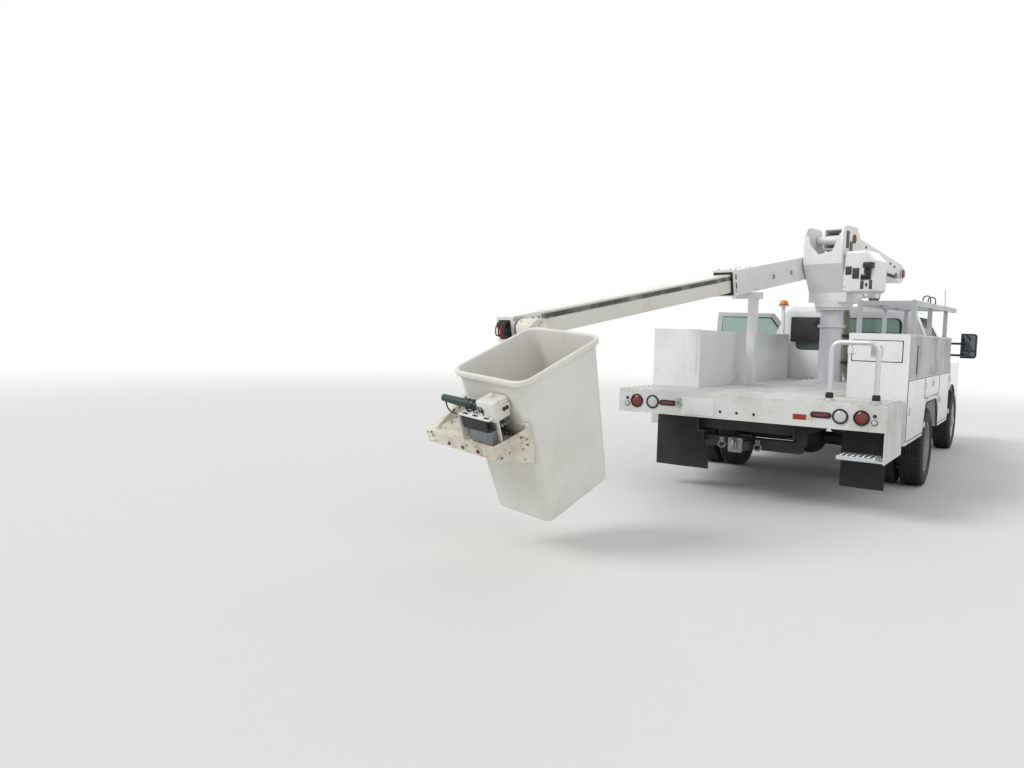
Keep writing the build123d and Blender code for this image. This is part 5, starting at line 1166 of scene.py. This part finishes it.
# Lower boom: a welded steel box on the heel pin, with bolt heads along its right side and top, two
# small boxes, and four hoses in zinc clips.
softened("lower_boom", boom_white, 5.0)
fall_low = math.radians(8.1)
low_along = math.cos(fall_low) * boom_ahead - math.sin(fall_low) * skyward
low_up = math.sin(fall_low) * boom_ahead + math.cos(fall_low) * skyward
lower = (heel, low_along, boom_left, low_up)
low_half, low_top = 110.0, 120.0
# Each boss's distance from the heel pin and its height on the boom's right side.
bosses = ((260, 60), (420, 60), (420, -30), (640, 62), (780, 30), (960, 60), (1010, -20), (1190, 58),
          (1250, 0), (1480, 50), (1620, 40), (1700, -40))
studs = []
for s, z in bosses:
    studs += bolt(put(lower, s, -low_half, z), -boom_left, 11.0, 12.0)
for s in np.arange(150, 1800, 210):
    studs += bolt(put(lower, s, 70.0, low_top), low_up, 7.0, 8.0)
surface("lower_boom_bolts", "lower_boom_body", chassis_black, studs)
surface("lower_boom_boxes", "lower_boom_body", boom_white, [
    block((700, -low_half - 50, -60), (860, -low_half, 30), lower),
    block((1080, -low_half - 40, -20), (1190, -low_half, 60), lower)])
low_route = np.array([(120, -40), (300, -90), (700, -100), (1100, -104), (1500, -100), (1700, -60)])
low_hoses = []
for k in range(4):
    s, z = (low_route - (0, 6 * k + 14 * (k // 2))).T
    low_hoses.append((8.0, put(lower, s, -low_half - 8 - 17 * (k % 2), z)))
hoses("lower_boom_hoses", "lower_boom_body", hose_rubber, low_hoses)
surface("lower_boom_clips", "lower_boom_body", zinc, [
    block((s - 12, -low_half - 36, -152), (s + 12, 1 - low_half, -80), lower, 3, 5)
    for s in (480.0, 900.0, 1300.0)])

# Elbow: a cast bracket between the booms on one long pin, with capped pin ends, and the hose loops
# that cross it, in olive sleeving.
softened("elbow", boom_white, 4.0)
low_len, pin_right, pin_left, cap_thick = 1879, -140.1, 482.1, 9
elbow_axes = moved(aloft, heel_x + low_len * math.cos(fall_low), 0.0, heel_z - low_len * math.sin(fall_low))
elbow_cap = [(0, 0), (0, 58), (5, 58), (cap_thick, 50), (cap_thick, 0)]
surface("elbow_pin_caps", "elbow_body", rusty_pin, [
    turned(elbow_cap, put(elbow_axes, 0, end, 0), math.copysign(1, end) * boom_left, 32)
    for end in (pin_right, pin_left)])
surface("elbow_pin_bolts", "elbow_body", zinc, [
    sheet for end in (pin_right, pin_left)
    for sheet in bolt(put(elbow_axes, 0, end + math.copysign(cap_thick, end), 0),
                      math.copysign(1, end) * boom_left, 14.0, 12.0)])
# A loop's points behind and below the pin, and how far each moves from one hose to the next.
loop_route = np.array([(-150, -100), (-232, -220), (-240, -345), (-170, -392), (-90, -372), (-20, -270),
                       (-60, -170)])
loop_step = np.array([(0, 0), (-6, -8), (0, -8), (0, -8), (0, -8), (-6, 0), (0, 0)])
loops = []
for k in range(5):
    x, z = (loop_route + k * loop_step).T
    loops.append((9.0, put(elbow_axes, x, 132 + 15 * k, z)))
hoses("elbow_hose_loops", "elbow_body", hose_sleeve, loops)

# Upper boom: a welded steel box that hangs on the elbow by its tapered arm; its lower end carries a
# collar with black nylon wear pads, adjusting screws and two slots in its side.
softened("upper_boom", boom_white, 6.0)
fall_up = math.radians(9.92)
up_back = -math.cos(fall_up) * boom_ahead - math.sin(fall_up) * skyward
up_up = -math.sin(fall_up) * boom_ahead + math.cos(fall_up) * skyward
upper = (put(aloft, 0.0, 352.0, 2377.0), up_back, np.cross(up_up, up_back), up_up)
# Nylon is black, with a dull and slightly waxy surface.
wear_nylon = enamel("black_nylon_wear_pad", "#151517", "#46423c", 0.6, 0.1, 0.4, peel_mm=3.0)
collar_s, collar_half, collar_top = 1950.0, 124.0, 148.5
upper_half, upper_top, pad_in, pad_out, slot_tall = 110, 132.5, 86.5, 120, 56
# Each pad's low and high corner, across and up: above, below, left and right of the inner boom.
pads = (((-100, 96), (100, pad_out)), ((-100, -pad_out), (100, -96)),
        ((pad_in, -pad_out), (upper_half, pad_out)), ((-upper_half, -pad_out), (-pad_in, pad_out)))
surface("wear_pads", "upper_boom_body", wear_nylon, [
    block((collar_s - 6, *low), (collar_s + 10, *high), upper, 2, 4) for low, high in pads
] + [block((1900, collar_half - 0.5, z), (1924, collar_half + 1.2, z + slot_tall), upper, 0.6, 11)
     for z in (38.0, -58.0)])
collar_bolts = []
for y in (-70.0, 70.0):
    collar_bolts += bolt(put(upper, collar_s - 30, y, collar_top), up_up, 8.0, 9.0)
for z in (-80.0, 0.0, 80.0):
    for side in (1, -1):
        place = put(upper, collar_s - 30, side * collar_half, z)
        collar_bolts += bolt(place, side * upper[2], 8.0, 9.0)
for s in (-700.0, -620.0, 1500.0, 1580.0):
    for y in (-60.0, 60.0):
        collar_bolts += bolt(put(upper, s, y, upper_top), up_up, 7.0, 8.0)
surface("collar_bolts", "upper_boom_body", zinc, collar_bolts)
surface("upper_boom_clips", "upper_boom_body", zinc, [
    block((s - 10, upper_half, -40), (s + 10, upper_half + 18, 10), upper, 2, 4)
    for s in np.arange(-600, 1500, 420.0)])

# Inner boom: a wound glass-fibre box, chalky with age, with a dark band along the upper part of each
# side; a steel tip casting is bolted on.


def banded_fibre(name, centre, rise, low_mm, high_mm):
    """Wound fibre under worn gel coat: a dark band between two heights on the box, whose edges fade over
    10 mm, broken up by a noise of 170 mm."""
    edge_mm = 10
    material = enamel(name, "#dcdbd3", "#7b766d", 0.4, 0.05, 0.25)
    tree = material.node_tree
    shader = tree.nodes["Principled BSDF"]
    old = shader.inputs["Base Color"].links[0].from_socket
    space = node(tree, "TexCoord", {}).outputs["Object"]
    height = node(tree, "VectorMath", {"operation": "DOT_PRODUCT", 1: tuple(rise)}, in0=space)
    height = node(tree, "Math", {"operation": "SUBTRACT", 1: float(centre @ rise)},
                  in0=height.outputs["Value"])
    near = node(tree, "MapRange", {1: low_mm / 1000, 2: (low_mm + edge_mm) / 1000}, in0=height.outputs[0])
    far = node(tree, "MapRange", {1: (high_mm - edge_mm) / 1000, 2: high_mm / 1000, 3: 1.0, 4: 0.0},
               in0=height.outputs[0])
    band_breakup = node(tree, "TexNoise", {"Scale": 6.0, "Detail": 6.0, "Roughness": 0.7}, Vector=space)
    band_breakup = node(tree, "MapRange", {1: 0.3, 2: 0.55, 3: 0.6, 4: 1.0}, in0=band_breakup.outputs[0])
    band = node(tree, "Math", {"operation": "MULTIPLY"}, in0=near.outputs[0], in1=far.outputs[0])
    band = node(tree, "Math", {"operation": "MULTIPLY"}, in0=band.outputs[0], in1=band_breakup.outputs[0])
    mixed = node(tree, "Mix", {"data_type": "RGBA", 7: linear("#3d3b37")}, in0=band.outputs[0], in6=old)
    tree.links.new(mixed.outputs[2], shader.inputs["Base Color"])
    return material


boom_fibre = banded_fibre("weathered_glass_fibre_boom", upper[0], up_up, 28.0, 82.0)
softened("inner_boom", boom_fibre, 12.0)
softened("boom_tip", boom_white, 8.0)
tip_half, tip_end_s, hose_start_s = 91.0, 5169.5, 5172.0
tip_bolts = []
for s in (4880.0, 4950.0, 5020.0):
    for side in (1, -1):
        for z in (-60.0, 60.0):
            tip_bolts += bolt(put(upper, s, side * tip_half, z), side * upper[2], 8.0, 9.0)
surface("boom_tip_bolts", "inner_boom_body", zinc, tip_bolts)
dress(zinc, "level_plate")
# The insulating hose has a smooth red jacket, dulled by the sun.
hose_red = enamel("red_insulating_hose", "#a8322a", "#5a3a34", 0.45, 0.1, 0.4, peel_mm=3.0)
surface("boom_tip_end", "inner_boom_body", black_plastic, [
    block((tip_end_s, -66, -74), (tip_end_s + 4.5, 66, 74), upper, 1, 8),
    block((hose_start_s, -46, 18), (hose_start_s + 44, 40, 62), upper, 4, 6),
    block((hose_start_s, -30, -64), (hose_start_s + 28, 52, -24), upper, 4, 6)])
# A loop's points beyond its start, across and up, and how far its nose moves from hose to hose.
tip_route = np.array([(0, 0, 50), (46, 4, 52), (76, 10, 4), (64, 4, -44), (4, 0, -50)])
nose_step = np.array([(0, 0, 0), (0, 0, 0), (-5, 0, 3), (0, 0, 0), (0, 0, 0)])
tip_loops = []
for k in range(4):
    s, y, z = (tip_route + k * nose_step + (hose_start_s, 27 * k - 42, 0)).T
    tip_loops.append((6.0, put(upper, s, y, z)))
hoses("boom_tip_red_hoses", "inner_boom_body", hose_red, tip_loops[::2])
hoses("boom_tip_hoses", "inner_boom_body", hose_rubber, tip_loops[1::2])

# Lift cylinders: painted tube barrels with a gland nut, and hard chromed rods, ground smooth, which
# shine like mirrors.
dress(boom_white, "lower_lift_barrel", "upper_lift_barrel")
chrome = enamel("hard_chrome_rod", "#c4c7ca", "#8f8b86", 0.08, 0.02, 0.06, metallic=1.0)
dress(chrome, "lower_lift_rod", "upper_lift_rod")

# Platform bracket: bent and welded plate in white enamel, scraped to rust along its edges, bolted
# to the bucket's rear wall.
bracket_paint = enamel("scraped_enamel_on_bracket", "#dedcd0", "#8a6f52", 0.45, 0.5, 0.6, 0.15)
softened("platform_bracket", bracket_paint, 3.0)
bucket_up = np.array([-0.384, -0.014, 0.923])
bucket_up /= np.linalg.norm(bucket_up)
bucket_front = np.array([0.910, -0.174, 0.376])
bucket_front -= bucket_up * (bucket_front @ bucket_up)
bucket_front /= np.linalg.norm(bucket_front)
rim = (put(truck, -2440.0, 600.0, 1340.0), bucket_front, np.cross(bucket_up, bucket_front), bucket_up)
bracket_rear, bracket_bolt_z = -594.0, -430.0
bracket_bolts = []
for y in (250.0, 120.0, -20.0):
    bracket_bolts += bolt(put(rim, bracket_rear, y, bracket_bolt_z), -bucket_front, 9.0, 9.0)
surface("bracket_bolts", "platform_body", rusty_pin, bracket_bolts)

# Upper controls: a folded steel tower with a cap over a slotted tray with three black knobs, an
# alloy valve body below it, and a dark green grip with a guard; bare hoses loop down behind them.
# The enamel is chipped to rust, the cast alloy is grey and grainy, and the grip's plastic is
# smooth, with a soft gloss.
control_white = enamel("chipped_enamel_on_controls", "#e3e2dc", "#6f665b", 0.34, 0.2, 0.35, 0.05)
valve_alloy = enamel("cast_alloy_valve", "#8f9396", "#3a3633", 0.4, 0.2, 0.6, metallic=0.6)
grip_green = enamel("dark_green_moulded_grip", "#1f3229", "#4a4a42", 0.42, 0.05, 0.3, peel_mm=2.0)
tower_top, tray_top, tray_low, tray_y = -112.0, -202.0, -385.0, 122.0
cap_profile = [(0, 0), (0, 20), (14, 20), (20, 14), (22, 0)]
# In the bucket's frame: x behind its middle, y across, z below its rim. The tower, the tray's top,
# its corner post, its side, the post under the tower and the lever box.
surface("control_tower", "platform_body", control_white, [
    block((-520, -160, -240), (-385, -10, tower_top), rim, 6, 8),
    block((-566, -150, tray_top - 10), (-470, tray_y + 6, tray_top), rim, 2, 4),
    block((-568, tray_y, tray_low), (-562, tray_y + 8, tray_top), rim, 1, 2),
    block((-568, tray_y, tray_low), (-470, tray_y + 6, tray_top), rim, 1, 2),
    block((-500, -158, tray_low - 1), (-490, -120, -240), rim, 1, 2),
    block((-455, -172, -196), (-388, -60, -150), rim, 5, 7),
    turned(cap_profile, put(rim, -440.0, -70.0, tower_top), rim[3], 24),
], stands_for=("controls",))
button_profile = [(0, 0), (0, 13), (9, 12), (10, 0)]
surface("control_slots", "platform_body", black_plastic, [
    block((x, y, tray_top - 0.6), (x + 18, y + 46, tray_top + 1.2), rim, 0.6, 7)
    for x in (-556, -522) for y in (-136.0, -36.0, 54.0)
] + [
    block((-521.2, y, -190), (-518, y + 16, -150), rim, 0.8, 6) for y in (-60.0, -36.0)
] + [
    turned(button_profile, put(rim, x, -172.0, -172.0), -rim[2], 18) for x in (-420.0, -444.0)
])
valve_low, valve_mid = -387, -300
port_profile = [(0, 0), (0, 16), (7, 15), (8, 0)]
spool_profile = [(0, 0), (0, 9), (26, 9), (28, 0)]
surface("valve_body", "platform_body", valve_alloy, [
    block((-556, -128, valve_low), (-482, 60, valve_mid), rim, 4, 8),
    block((-505, -140, valve_mid), (-400, 40, valve_mid + 60), rim, 4, 8),
    block((-470, -60, valve_low), (-400, 56, valve_mid), rim, 4, 8),
    turned(port_profile, put(rim, -520.0, -128.0, -345.0), -rim[2], 20),
] + [turned(spool_profile, put(rim, x, -146.0, -270.0), -rim[2], 6) for x in (-480.0, -455, -430)])
knob_top = [(0, 0), (2, 9), (12, 11), (20, 8), (23, 0)]
knobs = []
for y in (-60.0, 20.0, 80.0):
    stem = put(rim, np.array([-520.0, -526.0]), y, np.array([tray_top - 2, tray_top + 22]))
    knobs.append(tube(stem, 4.0, 8))
    knobs.append(turned(knob_top, put(rim, -525.0, y, tray_top + 18), rim[3], 16))
knobs.append(block((-560, -110, -296), (-545, 110, -216), rim, 3, 6))
surface("control_knobs", "platform_body", black_plastic, knobs)
grip_route = np.array([(-470, -8, -176), (-472, 40, -176), (-474, 120, -176), (-476, 230, -174),
                       (-478, 348, -170)])
grip_radii = np.array([22.0, 24, 27, 28, 24])
collar_profile = [(0, 0), (0, 31), (8, 33), (26, 33), (32, 28), (32, 0)]
surface("control_grip", "platform_body", grip_green, [tube(put(rim, *grip_route.T), grip_radii, 24)] + [
    turned(collar_profile, put(rim, -471.0, y, -176.0), rim[2], 28) for y in (60.0, 104.0)])
guard_route = np.array([(-476, 335, -176), (-478, 345, -240), (-480, 290, -275), (-478, 180, -262),
                        (-474, 80, -225)])
hoses("grip_guard", "platform_body", black_plastic, [(5.0, put(rim, *guard_route.T))])
# A drop hose's points, and how far each moves from one hose to the next.
hose_count, hose_pitch, fitting_z = 7, 34, -268.0
drop_route = np.array([(-480, 0, -262), (-455, 12, -232), (-440, -22, -300), (-410, 10, -345),
                       (-400, -8, -372), (-396, 0, -392)])
drop_step = np.array([(0, 0, 0), (0, 0, -6), (4, 0, 0), (0, 0, 0), (0, 0, 0), (0, 0, 0)])
drops = []
for k in range(hose_count):
    route = drop_route + k * drop_step + (0, hose_pitch * k - 150, 0)
    drops.append((6.5, put(rim, *route.T)))
hoses("control_hoses", "platform_body", hose_rubber, drops)
fitting_profile = [(0, 0), (0, 10), (16, 10), (18, 0)]
surface("control_fittings", "platform_body", rusty_pin, [
    turned(fitting_profile, put(rim, 14 * (k % 3) - 470, hose_pitch * k - 140, fitting_z), rim[3], 6)
    for k in range(hose_count)])

# Bucket: hand-laid glass fibre in white gel coat, tapered, with a thick rolled lip and soft corners.
# The gel coat is smooth with slow waves, and chalky where hands and tools have rubbed it.
bucket_coat = enamel("bucket_gel_coat", "#e0dfd9", "#99948a", 0.36, 0.12, 0.25, peel_mm=6.0)
# The rim's length and width with its lip, and the depth; lip_in and lip_out are insets from the wall.
bucket_long, bucket_wide, bucket_deep, lip_in, lip_out = 810, 660, 1070, 4, -22
wall_thick, floor_thick, floor_r, base_r = 8, 8, 34, 40
side_draft, corner_r, corner_loss, corner_least = 60.0, 84.0, 26.0, 20.0


def arc(middle, radius, start, end, steps):
    """Points of a circle's arc, as (inset, height), between two angles counted in quarter turns."""
    angle = np.linspace(start, end, steps) * math.pi / 2
    return np.asarray(middle) + radius * np.stack([np.cos(angle), np.sin(angle)], -1)


def bucket_rows():
    """Inset from the wall's outer face and height from the rim: from the floor's edge up the inside,
    over the lip as a half circle, down the outside and back under to the base."""
    lip_r = (lip_in - lip_out) / 2
    floor_z = floor_thick - bucket_deep
    wall_z = base_r - bucket_deep
    return np.concatenate([
        arc((wall_thick + floor_r, floor_z + floor_r), floor_r, -1, -2, 5),
        np.stack([np.full(8, wall_thick), np.linspace(-980, -40, 8)], -1),
        arc((lip_in - lip_r, -lip_r), lip_r, 0, 2, 9),
        [(lip_out, -30)],
        arc((lip_out + 10, -32), 10, 2, 3, 4),
        [(-6, -42), (0, -46)],
        np.stack([np.zeros(9), np.linspace(-90, wall_z, 9)], -1),
        arc((base_r, wall_z), base_r, 2, 3, 5),
    ])


# The walls draw in by side_draft down to the base, and the corners tighten by corner_loss.
bucket_sheet = []
for inset, z in bucket_rows():
    fall = -z / bucket_deep
    shrink = 2 * (inset + side_draft * fall)
    radius = max(corner_least, corner_r - corner_loss * fall - 0.7 * inset)
    line = rounded(bucket_long + 2 * lip_out - shrink, bucket_wide + 2 * lip_out - shrink, radius, 9)
    bucket_sheet.append(put(rim, line[:, 0], line[:, 1], z))
poles = [np.broadcast_to(bucket_sheet[i].mean(0), bucket_sheet[i].shape) for i in (0, -1)]
bucket_sheet = np.stack([poles[0], *bucket_sheet, poles[1]])
surface("bucket_shell", "platform_body", bucket_coat, [(bucket_sheet, False, True)], 50.0,
        stands_for=("bucket",))
